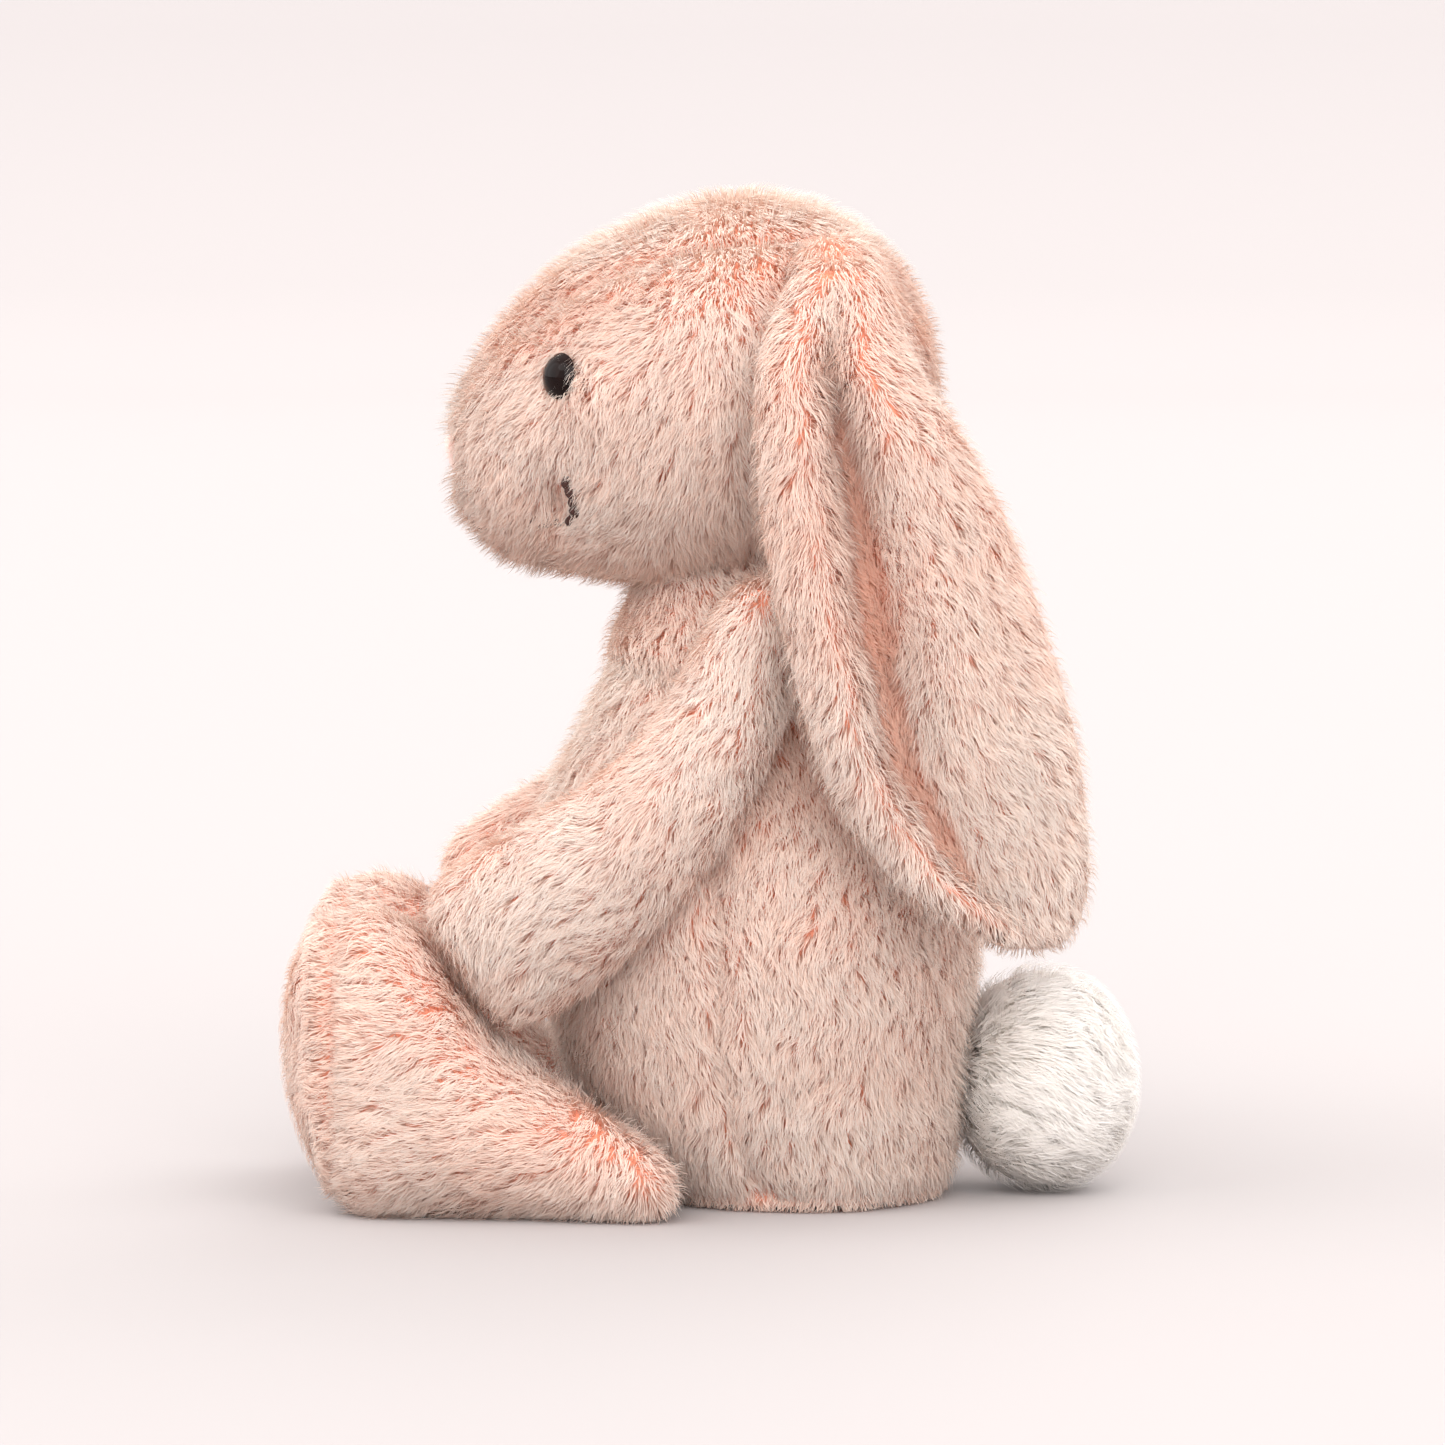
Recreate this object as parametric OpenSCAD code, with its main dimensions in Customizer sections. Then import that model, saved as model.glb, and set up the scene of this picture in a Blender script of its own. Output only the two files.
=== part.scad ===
// Seated lop-eared plush rabbit: pile-fabric panels sewn around soft filling, with sewn-on limbs.
// Millimetres, +Z up, the toy faces -Y, and its left side is +X.
// The origin is the middle of the seat, on the surface the toy sits on.

/* [Fabric] */
// Height that the fur pile stands out from the backing cloth
pile_h = 3; // [2:0.5:4]
// Thickness of the pile fabric's backing and packed roots
cloth_t = 2; // [1.5:0.25:2.5]
// Gap left along each seam between two panels
seam_gap = 0.3; // [0.2:0.05:0.5]
// Gap between a cover and the filling inside it
filling_gap = 0.5; // [0.4:0.1:1]

/* [Head] */
// Width of the head across the cheeks, to the fur tips
head_w = 81; // [72:1:84]
// Angle from the crown line to the gusset seam at the crown
gusset_angle = 36; // [24:1:44]
// Diameter of an eye's dome
eye_d = 9.2; // [7:0.5:12]
// Height that an eye's dome stands out
eye_dome_h = 2.6; // [2:0.2:4.5]
// Diameter of the thread in the stitched smile
thread_d = 1.2; // [0.8:0.1:2]
// Width of the nose patch
nose_w = 12; // [8:1:16]

/* [Ears] */
// Thickness of each of an ear's two fabric layers
ear_layer_t = 3.6; // [2.5:0.2:4]
// How far an ear's edges curl outward around its groove
ear_curl = 9; // [4:0.5:11]

/* [Torso] */
// Width of the torso at its widest, to the fur tips
torso_w = 86; // [78:1:90]
// Thickness of the flat base panel
base_t = 2.4; // [2:0.2:3]

/* [Limbs] */
// Thickness of an arm, to the fur tips
arm_t = 23; // [20:0.5:24]
// Width of a foot, to the fur tips
foot_w = 36; // [30:1:38]
// Diameter of a shoulder's gathered thread ring
shoulder_ring_d = 8; // [6:0.5:9]
// Diameter of a hip's gathered thread ring
hip_ring_d = 8; // [6:0.5:9]

/* [Tail] */
// Width of the tail, to the fur tips
tail_w = 42; // [36:1:46]

/* [Seat beans] */
// Diameter of one bean
bean_d = 4.6; // [3:0.2:5]
// Radius of the bean pouch
pouch_r = 22; // [18:1:24]

/* [Hidden] */

fur_colour = [0.91, 0.76, 0.69];
seam_colour = [0.84, 0.66, 0.58];
lining_colour = [0.90, 0.72, 0.62];
nose_colour = [0.93, 0.70, 0.68];
white_fur_colour = [0.93, 0.90, 0.87];
filling_colour = [0.96, 0.96, 0.94];
eye_colour = [0.08, 0.05, 0.04];
thread_colour = [0.25, 0.14, 0.11];
pouch_colour = [0.85, 0.84, 0.80];
bean_colour = [0.75, 0.78, 0.80];

round_facets = 48;
dome_facets = 64;
bean_facets = 32;
thread_facets = 8;
// How far a cutting tool runs past the faces that it cuts
over = 1;
// A floor level for forms that nothing cuts off below
no_floor = -1000;
cloth_inset = pile_h + cloth_t;
filling_inset = cloth_inset + filling_gap;

// ---------------------------------------------------------------------------------------------
// Lofts. A station is [centre, across, up, half_width, half_height, squareness]: one closed
// section with its axes. A form is a list of stations along a body part. The same form, inset by
// the pile, the cloth or the filling gap, gives the outside, the inside and the filling.
// ---------------------------------------------------------------------------------------------

function signed_power(v, p) = sign(v) * pow(abs(v), p);
// A half width drawn in by an inset; a narrow one shrinks less, and never to nothing
function shrunk(r, inset) = r > 2 * inset ? r - inset : r * r / (4 * inset);

// Distance along the form up to station k, and the direction of the form there
function run(form, k) = k == 0 ? 0 : run(form, k - 1) + norm(form[k][0] - form[k - 1][0]);
function heading(form, k) =
    let (
        ahead = form[min(k + 1, len(form) - 1)][0],
        behind = form[max(k - 1, 0)][0]
    )
    (ahead - behind) / norm(ahead - behind);

// A station drawn in from the end it is near, so that an inset form is shorter too
function drawn_in(form, k, inset) =
    let (s = run(form, k) / run(form, len(form) - 1))
    form[k][0] + heading(form, k) * inset * (1 - 2 * s);

function floored(p, low) = [p[0], p[1], max(p[2], low)];

// Point of a form at station k and angle a, inset, and never lower than `low`
function form_point(form, k, a, inset, low) =
    let (
        st = form[k],
        power = 2 / st[5],
        across = st[1] * shrunk(st[3], inset) * signed_power(cos(a), power),
        up = st[2] * shrunk(st[4], inset) * signed_power(sin(a), power)
    )
    floored(drawn_in(form, k, inset) + across + up, low);

function form_ring(form, k, angles, inset, low) =
    [for (a = angles) form_point(form, k, a, inset, low)];

function steps(first, last, count) = [for (i = [0:count]) first + (last - first) * i / count];
function full_turn(count) = [for (i = [0:count - 1]) 360 * i / count];
function flat_list(lists) = [for (l = lists) each l];

// Two triangles for the quadrilateral a b c d
function quad(a, b, c, d) = [[a, b, c], [a, c, d]];

// Closed slab between two grids of points, `outer` and `inner`, of the same size
module slab(outer, inner) {
    rows = len(outer);
    cols = len(outer[0]);
    shift = rows * cols;
    skin = flat_list([
        for (i = [0:rows - 2]) for (j = [0:cols - 2])
            let (a = i * cols + j, b = a + cols)
            concat(quad(a, b, b + 1, a + 1),
                   quad(shift + a, shift + a + 1, shift + b + 1, shift + b))
    ]);
    row_walls = flat_list([
        for (j = [0:cols - 2])
            let (z = (rows - 1) * cols + j)
            concat(quad(j, j + 1, shift + j + 1, shift + j),
                   quad(z + 1, z, shift + z, shift + z + 1))
    ]);
    col_walls = flat_list([
        for (i = [0:rows - 2])
            let (a = i * cols, z = a + cols - 1)
            concat(quad(a, shift + a, shift + a + cols, a + cols),
                   quad(z, z + cols, shift + z + cols, shift + z))
    ]);
    polyhedron(concat(flat_list(outer), flat_list(inner)),
               concat(skin, row_walls, col_walls), convexity = 8);
}

// Closed solid through a list of rings of points
module solid_loft(rings) {
    count = len(rings[0]);
    last = len(rings) - 1;
    sides = flat_list([
        for (i = [0:last - 1]) for (j = [0:count - 1])
            let (a = i * count + j, a1 = i * count + (j + 1) % count)
            quad(a, a + count, a1 + count, a1)
    ]);
    start_cap = [for (j = [0:count - 1]) j];
    end_cap = [for (j = [count - 1:-1:0]) last * count + j];
    polyhedron(flat_list(rings), concat(sides, [start_cap], [end_cap]), convexity = 8);
}

// Closed bowl: a loft with an inner hollow, open at its first ring
module bowl_loft(outer, inner) {
    count = len(outer[0]);
    last = len(outer) - 1;
    shift = (last + 1) * count;
    sides = flat_list([
        for (i = [0:last - 1]) for (j = [0:count - 1])
            let (a = i * count + j, a1 = i * count + (j + 1) % count)
            concat(quad(a, a + count, a1 + count, a1),
                   quad(shift + a, shift + a1, shift + a1 + count, shift + a + count))
    ]);
    rim = flat_list([
        for (j = [0:count - 1])
            let (j1 = (j + 1) % count)
            quad(j, j1, shift + j1, shift + j)
    ]);
    outer_cap = [for (j = [count - 1:-1:0]) last * count + j];
    inner_cap = [for (j = [0:count - 1]) shift + last * count + j];
    polyhedron(concat(flat_list(outer), flat_list(inner)),
               concat(sides, rim, [outer_cap], [inner_cap]), convexity = 8);
}

// One cloth panel of a form: stations first..last, and at each station its own list of angles
module cloth_panel(form, first, last, angles_at, low = no_floor) {
    outer = [for (k = [first:last]) form_ring(form, k, angles_at[k], pile_h, low)];
    inner = [for (k = [first:last])
        form_ring(form, k, angles_at[k], cloth_inset, low + cloth_t)];
    slab(outer, inner);
}

module filling(form, count, low = no_floor) {
    color(filling_colour)
        solid_loft([for (k = [0:len(form) - 1])
            form_ring(form, k, full_turn(count), filling_inset, low)]);
}

// Gathered thread ring around the X axis
ring_thread_d = 1.6;
module thread_ring_x(at, d, thread = ring_thread_d) {
    color(seam_colour)
        translate(at) rotate([0, 90, 0])
            rotate_extrude($fn = round_facets)
                translate([d / 2 - thread / 2, 0]) circle(d = thread, $fn = round_facets);
}

module on_right() {
    mirror([1, 0, 0]) children();
}

// ---------------------------------------------------------------------------------------------
// Head: stations from the nape to the muzzle, [y, top, bottom, half width of an 81 mm head]
// ---------------------------------------------------------------------------------------------

head_profile = [
    [31.4, 166.5, 159.5, 4.5],
    [30.2, 171, 155.5, 10],
    [27, 179.4, 147.5, 17.5],
    [22, 187.6, 139, 25],
    [14, 195, 131.5, 32.5],
    [4, 198.8, 126, 38],
    [-7, 200, 122.6, 40.2],
    [-18, 198.4, 121.5, 40.5],
    [-30, 194.8, 121.4, 38.8],
    [-41, 188.8, 122.6, 35.2],
    [-50, 182, 124.2, 30.5],
    [-57, 175.8, 126.4, 25.4],
    [-62, 170.4, 130, 20.2],
    [-65.6, 165, 136.4, 14.2],
    [-67.8, 160.2, 144.4, 7.8]
];
head_square = 2.15;
head_form = [for (p = head_profile)
    [[0, p[0], (p[1] + p[2]) / 2], [1, 0, 0], [0, 0, 1],
     p[3] * head_w / 81, (p[1] - p[2]) / 2, head_square]];
head_last = len(head_form) - 1;
head_steps = 9;
gusset_steps = 6;
head_facets = 20;
gusset_end_share = 0.45;

// The gusset is widest over the crown and narrows to the nape and to the muzzle
function gusset_half(k) =
    let (middle = sin(180 * (k + 2) / (head_last + 4)))
    gusset_angle * (gusset_end_share + (1 - gusset_end_share) * middle);
function seam_turn(form, k) = seam_gap / 2 / max(form[k][3], form[k][4]) * 180 / PI;
head_side_angles = [for (k = [0:head_last])
    steps(-90 + seam_turn(head_form, k), 90 - gusset_half(k) - seam_turn(head_form, k), head_steps)];
gusset_angles = [for (k = [0:head_last])
    steps(90 - gusset_half(k) + seam_turn(head_form, k),
          90 + gusset_half(k) - seam_turn(head_form, k), gusset_steps)];

// Place on the head's backing cloth at depth y and height z, on the left side, at an inset
function head_index(y, k = 0) =
    head_profile[k + 1][0] <= y || k == head_last - 1 ? k : head_index(y, k + 1);
function blend_of(a, b, t) = a + (b - a) * t;
function head_side_x(y, z, inset) =
    let (
        k = head_index(y),
        t = (head_profile[k][0] - y) / (head_profile[k][0] - head_profile[k + 1][0]),
        half_w = blend_of(head_form[k][3], head_form[k + 1][3], t) - inset,
        half_h = blend_of(head_form[k][4], head_form[k + 1][4], t) - inset,
        mid = blend_of(head_form[k][0][2], head_form[k + 1][0][2], t),
        v = min(0.98, abs(z - mid) / half_h)
    )
    half_w * pow(1 - pow(v, head_square), 1 / head_square);

module head_side_left() {
    color(fur_colour) cloth_panel(head_form, 0, head_last, head_side_angles);
}
module head_side_right() {
    on_right() head_side_left();
}
module head_gusset() {
    color(fur_colour * 0.97) cloth_panel(head_form, 0, head_last, gusset_angles);
}
module head_filling() {
    filling(head_form, head_facets);
}

// Nose: a small padded patch, wider above than below, bent round the front of the muzzle.
// Each layer is [depth in front of the patch's middle, share of the outline].
nose_at = [0, -67.3, 148.2];
nose_h = 7;
nose_tilt = 16;
nose_bend = 0.03;
nose_top_share = 0.2;
nose_layers = [[-1, 0.1], [-1, 0.9], [-0.4, 1], [0.4, 0.97], [0.9, 0.82], [1.15, 0.5], [1.2, 0.1]];
nose_facets = 28;
function nose_point(a, depth, share) =
    let (
        x = nose_w / 2 * share * cos(a) * (1 + nose_top_share * sin(a)),
        up = nose_h / 2 * share * sin(a)
    )
    nose_at + [x,
               nose_bend * x * x - depth * cos(nose_tilt) - up * sin(nose_tilt),
               up * cos(nose_tilt) - depth * sin(nose_tilt)];
module nose() {
    color(nose_colour)
        solid_loft([for (layer = nose_layers)
            [for (a = full_turn(nose_facets)) nose_point(a, layer[0], layer[1])]]);
}

// Smile: a thread from under the nose, down the muzzle and round to each cheek, [y, z] by hand
smile_left = [
    [-64.9, 147.5], [-65.2, 141.6], [-63.2, 135.8], [-60, 132.8], [-56.4, 131.2], [-53.2, 130.6],
    [-50.2, 130.9], [-47.6, 132.2], [-45.8, 134.6], [-45, 139], [-45, 144.6]
];
smile_spread = [0, 0, 0.14, 0.34, 0.54, 0.72, 0.86, 0.95, 1, 1, 1];
thread_lift = thread_d / 2 + 0.3;
smile_front = 1.2;
sweep_side = [0.31, 0.9, 0.3];
function smile_point(i) =
    let (
        y = smile_left[i][0],
        z = smile_left[i][1],
        side = head_side_x(y, z, pile_h - thread_lift),
        front = -pow(1 - smile_spread[i], 2) * smile_front
    )
    [side * smile_spread[i], y + front, z];
function sweep_ring(path, i, r, count) =
    let (
        ahead = path[min(i + 1, len(path) - 1)],
        behind = path[max(i - 1, 0)],
        d = (ahead - behind) / norm(ahead - behind),
        side = cross(d, sweep_side),
        u = side / norm(side),
        v = cross(d, u)
    )
    [for (a = full_turn(count)) path[i] + (u * cos(a) + v * sin(a)) * r];
module swept_thread(path, d) {
    solid_loft([for (i = [0:len(path) - 1]) sweep_ring(path, i, d / 2, thread_facets)]);
}
module mouth_stitch() {
    left = [for (i = [1:len(smile_left) - 1]) smile_point(i)];
    color(thread_colour) {
        swept_thread(left, thread_d);
        on_right() swept_thread([for (i = [1:len(left) - 1]) left[i]], thread_d);
    }
}

// Eyes: a dome with a shank that passes through the cloth to a locking washer
eye_seat = [29.5, -45.4, 164.8];
eye_yaw = -50;
eye_pitch = 8;
shank_d = 3.6;
shank_length = 11;
shank_root = 0.5;
washer_d = 10;
washer_t = 1.6;
washer_depth = 6.8;
washer_clearance = 0.05;
module eye_frame() {
    translate(eye_seat) rotate([0, 0, eye_yaw]) rotate([0, 90 - eye_pitch, 0]) children();
}
module eye_left() {
    sphere_r = (pow(eye_d / 2, 2) + pow(eye_dome_h, 2)) / (2 * eye_dome_h);
    color(eye_colour) eye_frame() {
        intersection() {
            translate([0, 0, eye_dome_h - sphere_r]) sphere(r = sphere_r, $fn = dome_facets);
            cylinder(h = eye_dome_h + over, d = eye_d + 2 * over, $fn = dome_facets);
        }
        translate([0, 0, -shank_length])
            cylinder(h = shank_length + shank_root, d = shank_d, $fn = round_facets);
    }
}
module eye_right() {
    on_right() eye_left();
}
module eye_washer_left() {
    color(bean_colour) eye_frame()
        translate([0, 0, -washer_depth - washer_t])
            difference() {
                cylinder(h = washer_t, d = washer_d, $fn = round_facets);
                translate([0, 0, -over])
                    cylinder(h = washer_t + 2 * over, r = shank_d / 2 + washer_clearance,
                             $fn = round_facets);
            }
}
module eye_washer_right() {
    on_right() eye_washer_left();
}

// ---------------------------------------------------------------------------------------------
// Neck: a gathered, sewn band between the torso and the head
// ---------------------------------------------------------------------------------------------

neck_y = -8;
neck_low = 117.9;
neck_high = 121.9;
neck_r = 11;
neck_wall = 2;
module neck_stitching() {
    color(seam_colour) translate([0, neck_y, neck_low])
        difference() {
            cylinder(h = neck_high - neck_low, r = neck_r, $fn = round_facets);
            translate([0, 0, -over])
                cylinder(h = neck_high - neck_low + 2 * over, r = neck_r - neck_wall,
                         $fn = round_facets);
        }
}

// ---------------------------------------------------------------------------------------------
// Ears: rows from the root to the tip,
// [z, middle y, half width, inner face x, curl share, groove place from -1 front to 1 rear].
// A lobe rises steeply out of the groove, is full over its middle, and dips to its edge.
// ---------------------------------------------------------------------------------------------

ear_rows = [
    [185.6, 9.2, 8, 32.6, 0.05, 0],
    [181.5, 9, 10.6, 34, 0.2, 0],
    [175, 8.4, 13, 36.2, 0.45, -0.05],
    [167, 8.4, 15.6, 38.6, 0.75, -0.1],
    [154, 12.6, 19.6, 40.6, 1, -0.2],
    [140, 17, 23, 42, 1, -0.28],
    [124, 21.4, 25, 43.6, 1, -0.36],
    [108, 26, 25.4, 45, 0.95, -0.42],
    [92, 30, 25.2, 45.6, 0.8, -0.46],
    [80, 33.8, 23, 45.8, 0.55, -0.46],
    [69, 38.8, 18.8, 45.8, 0.35, -0.4],
    [61.8, 43, 12.8, 46, 0.2, -0.3],
    [57.4, 46.4, 6.6, 46.2, 0.1, 0]
];
ear_cols = 20;
lobe_shoulder = 0.55;
lobe_edge_dip = 0.3;
ear_edge_trim = 2.6;
ear_layer_gap = 0.3;
ear_edge_thin = 0.35;
function ear_point(row, u, depth) =
    let (
        lobe = u < row[5] ? (row[5] - u) / (1 + row[5]) : (u - row[5]) / (1 - row[5]),
        climb = (1 - cos(180 * min(1, lobe / lobe_shoulder))) / 2,
        curl = ear_curl * row[4] * climb * (1 - lobe_edge_dip * pow(lobe, 3)),
        thinner = 1 - pow(abs(u), 6) * ear_edge_thin
    )
    [row[3] + curl + ear_layer_t + (depth - ear_layer_t) * thinner,
     row[1] + u * (row[2] - ear_edge_trim),
     row[0]];
function ear_grid(depth) =
    [for (row = ear_rows) [for (u = steps(-1, 1, ear_cols)) ear_point(row, u, depth)]];
module ear_back_left() {
    color(fur_colour) slab(ear_grid(0), ear_grid(ear_layer_t));
}
module ear_back_right() {
    on_right() ear_back_left();
}
module ear_lining_left() {
    start = ear_layer_t + ear_layer_gap;
    color(lining_colour) slab(ear_grid(start), ear_grid(start + ear_layer_t));
}
module ear_lining_right() {
    on_right() ear_lining_left();
}

ear_pivot = [34, 9, 186];
ear_ring_d = 6;
ear_ring_x = 30.6;
ear_thread_d = 1.4;
module ear_stitching_left() {
    thread_ring_x([ear_ring_x, ear_pivot[1], ear_pivot[2]], ear_ring_d, ear_thread_d);
}
module ear_stitching_right() {
    on_right() ear_stitching_left();
}

// ---------------------------------------------------------------------------------------------
// Torso: rows from the base to the neck, [z, front y, back y, half width of an 86 mm torso]
// ---------------------------------------------------------------------------------------------

torso_rows = [
    [2.7, -31.5, 34.6, 35.5],
    [9, -36.6, 35.5, 38],
    [17, -41.6, 35.6, 40],
    [26, -45.4, 36, 41],
    [35, -48, 37.4, 42.4],
    [46, -49.2, 38.6, 43],
    [58, -50, 39, 43],
    [70, -49.4, 36.8, 40],
    [82, -48, 33.4, 36.4],
    [93, -42.4, 29, 32.6],
    [103, -38.6, 24.6, 28.6],
    [111, -35, 20, 24.6],
    [116, -30.6, 14, 19.6],
    [118.4, -24.6, 5, 14]
];
torso_square = 2.1;
torso_form = [for (r = torso_rows)
    [[0, (r[1] + r[2]) / 2, r[0]], [1, 0, 0], [0, 1, 0],
     r[3] * torso_w / 86, (r[2] - r[1]) / 2, torso_square]];
torso_last = len(torso_form) - 1;

// The side seams run a little in front of the torso's middle
side_seam_angle = -12;
front_steps = 12;
back_steps = 8;
torso_front_angles = [for (k = [0:torso_last])
    steps(-180 - side_seam_angle + seam_turn(torso_form, k),
          side_seam_angle - seam_turn(torso_form, k), front_steps)];
torso_back_angles = [for (k = [0:torso_last])
    steps(side_seam_angle + seam_turn(torso_form, k), 90 - seam_turn(torso_form, k), back_steps)];
base_low = base_t + seam_gap;
module torso_front() {
    color(fur_colour)
        cloth_panel(torso_form, 0, torso_last, torso_front_angles, base_low);
}
module torso_back_left() {
    color(fur_colour * 0.98)
        cloth_panel(torso_form, 0, torso_last, torso_back_angles, base_low);
}
module torso_back_right() {
    on_right() torso_back_left();
}
module torso_base() {
    half_w = torso_form[0][3] - pile_h;
    half_d = torso_form[0][4] - pile_h;
    color(seam_colour)
        linear_extrude(base_t)
            translate([0, torso_form[0][0][1]])
                polygon([for (a = full_turn(round_facets)) [half_w * cos(a), half_d * sin(a)]]);
}

// The filling sits on the bean pouch, so it starts above it
pouch_h = 15;
torso_filling_first = 3;
torso_facets = 20;
module torso_filling() {
    color(filling_colour)
        solid_loft([for (k = [torso_filling_first:torso_last])
            form_ring(torso_form, k, full_turn(torso_facets), filling_inset, base_low)]);
}

// Bean pouch: a low round bag, gathered to a small neck
pouch_wall = 1;
pouch_neck_r = 3;
pouch_low = base_low + 0.5;
pouch_corner = 4;
module pouch_outline(inset) {
    offset(r = pouch_corner - inset, $fn = round_facets)
        translate([0, pouch_corner])
            square([pouch_r - pouch_corner, pouch_h - 2 * pouch_corner]);
}
module bean_pouch() {
    color(pouch_colour)
        translate([0, 0, pouch_low])
            difference() {
                rotate_extrude($fn = round_facets)
                    intersection() {
                        pouch_outline(0);
                        translate([0, -over]) square([pouch_r + over, pouch_h + 2 * over]);
                    }
                rotate_extrude($fn = round_facets)
                    intersection() {
                        pouch_outline(pouch_wall);
                        translate([0, -over]) square([pouch_r + over, pouch_h + 2 * over]);
                    }
                cylinder(h = pouch_h + over, r = pouch_neck_r, $fn = round_facets);
            }
}

// Beans: loose plastic balls in layers, each on a hexagonal grid
bean_pitch = bean_d + 0.35;
bean_layers = 2;
bean_lift = 0.4;
bean_margin = 1.2;
bean_reach = pouch_r - pouch_wall - bean_d / 2 - bean_margin;
module beans() {
    rows = floor(bean_reach / (bean_pitch * sin(60)));
    color(bean_colour)
        for (layer = [0:bean_layers - 1])
            for (row = [-rows:rows])
                for (col = [-rows - 1:rows + 1])
                    let (
                        x = (col + (row % 2 == 0 ? 0 : 0.5)) * bean_pitch,
                        y = row * bean_pitch * sin(60),
                        z = pouch_low + pouch_wall + bean_d / 2 + bean_lift + layer * bean_pitch
                    )
                    if (norm([x, y]) <= bean_reach)
                        translate([x, y, z]) sphere(d = bean_d, $fn = bean_facets);
}

// ---------------------------------------------------------------------------------------------
// Arms: rows from the shoulder to the paw, [x, y, z, width in profile, share of the thickness]
// ---------------------------------------------------------------------------------------------

arm_rows = [
    [34, -1.5, 127.6, 11, 0.62],
    [34, -2.6, 125, 17, 0.86],
    [34.2, -4.4, 120.4, 21.5, 0.97],
    [35, -7.4, 112.6, 24.6, 1],
    [37.6, -12.4, 99.4, 27, 1],
    [40.6, -20, 86.4, 30, 1],
    [41.6, -30.4, 74.8, 34.6, 1],
    [40, -42, 65, 38.6, 1],
    [37.6, -52, 57.8, 40.4, 1],
    [35.6, -59.4, 52.4, 40.2, 0.98],
    [34.6, -63.8, 49.4, 36.6, 0.88],
    [34.2, -66, 47.8, 29, 0.64]
];
arm_square = 2.3;
arm_steps = 8;
arm_facets = 14;
function cross_unit(a, b) = cross(a, b) / norm(cross(a, b));
arm_spine = [for (r = arm_rows) [[0, r[1], r[2]]]];
arm_form = [for (k = [0:len(arm_rows) - 1])
    let (r = arm_rows[k])
    [[r[0], r[1], r[2]], [1, 0, 0], cross_unit(heading(arm_spine, k), [1, 0, 0]),
     arm_t / 2 * r[4], r[3] / 2, arm_square]];
arm_last = len(arm_form) - 1;
arm_outer_angles = [for (k = [0:arm_last])
    steps(-90 + seam_turn(arm_form, k), 90 - seam_turn(arm_form, k), arm_steps)];
arm_inner_angles = [for (k = [0:arm_last])
    steps(90 + seam_turn(arm_form, k), 270 - seam_turn(arm_form, k), arm_steps)];
module arm_outer_left() {
    color(fur_colour) cloth_panel(arm_form, 0, arm_last, arm_outer_angles);
}
module arm_outer_right() {
    on_right() arm_outer_left();
}
module arm_inner_left() {
    color(fur_colour * 0.97) cloth_panel(arm_form, 0, arm_last, arm_inner_angles);
}
module arm_inner_right() {
    on_right() arm_inner_left();
}
module arm_filling_left() {
    filling(arm_form, arm_facets);
}
module arm_filling_right() {
    on_right() arm_filling_left();
}

shoulder_pivot = [34, -4, 118];
shoulder_ring_x = 24;
module shoulder_stitching_left() {
    thread_ring_x([shoulder_ring_x, shoulder_pivot[1], shoulder_pivot[2]], shoulder_ring_d);
}
module shoulder_stitching_right() {
    on_right() shoulder_stitching_left();
}

// ---------------------------------------------------------------------------------------------
// Legs: rows from the hip to the sole,
// [y, top z, bottom z, middle x, half width of a 36 mm foot, squareness]
// ---------------------------------------------------------------------------------------------

leg_rows = [
    [-20.6, 8.6, -1.5, 41, 6.5, 2],
    [-23, 14, -3, 41, 9.4, 2],
    [-27.5, 18, -3, 40.6, 11, 2.1],
    [-33.5, 21.4, -3, 39, 12.4, 2.2],
    [-40, 25, -3, 34.6, 15.8, 2.3],
    [-48, 29.6, -3, 32, 17.2, 2.4],
    [-56, 34.4, -3, 30.8, 17.8, 2.4],
    [-63, 42.2, -3, 30.4, 18, 2.5],
    [-69, 52, -3, 30.2, 18, 2.5],
    [-75, 59.6, -3, 30, 18, 2.6],
    [-83, 63, -3, 30, 18, 2.6],
    [-90, 63, 0.6, 30, 17.8, 2.6],
    [-94, 61.6, 8, 30, 17, 2.5],
    [-97, 58.4, 18, 30, 15, 2.4],
    [-98.6, 53.4, 28, 30, 11.5, 2.2]
];
leg_form = [for (r = leg_rows)
    [[r[3], r[0], (r[1] + r[2]) / 2], [1, 0, 0], [0, 0, 1],
     r[4] * foot_w / 36, (r[1] - r[2]) / 2, r[5]]];
leg_last = len(leg_form) - 1;
sole_first = 11;
leg_steps = 9;
leg_facets = 16;
sole_facets = 20;
leg_outer_angles = [for (k = [0:leg_last])
    steps(-90 + seam_turn(leg_form, k), 90 - seam_turn(leg_form, k), leg_steps)];
leg_inner_angles = [for (k = [0:leg_last])
    steps(90 + seam_turn(leg_form, k), 270 - seam_turn(leg_form, k), leg_steps)];
module leg_outer_left() {
    color(fur_colour) cloth_panel(leg_form, 0, sole_first, leg_outer_angles, 0);
}
module leg_outer_right() {
    on_right() leg_outer_left();
}
module leg_inner_left() {
    color(fur_colour * 0.97) cloth_panel(leg_form, 0, sole_first, leg_inner_angles, 0);
}
module leg_inner_right() {
    on_right() leg_inner_left();
}
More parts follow.
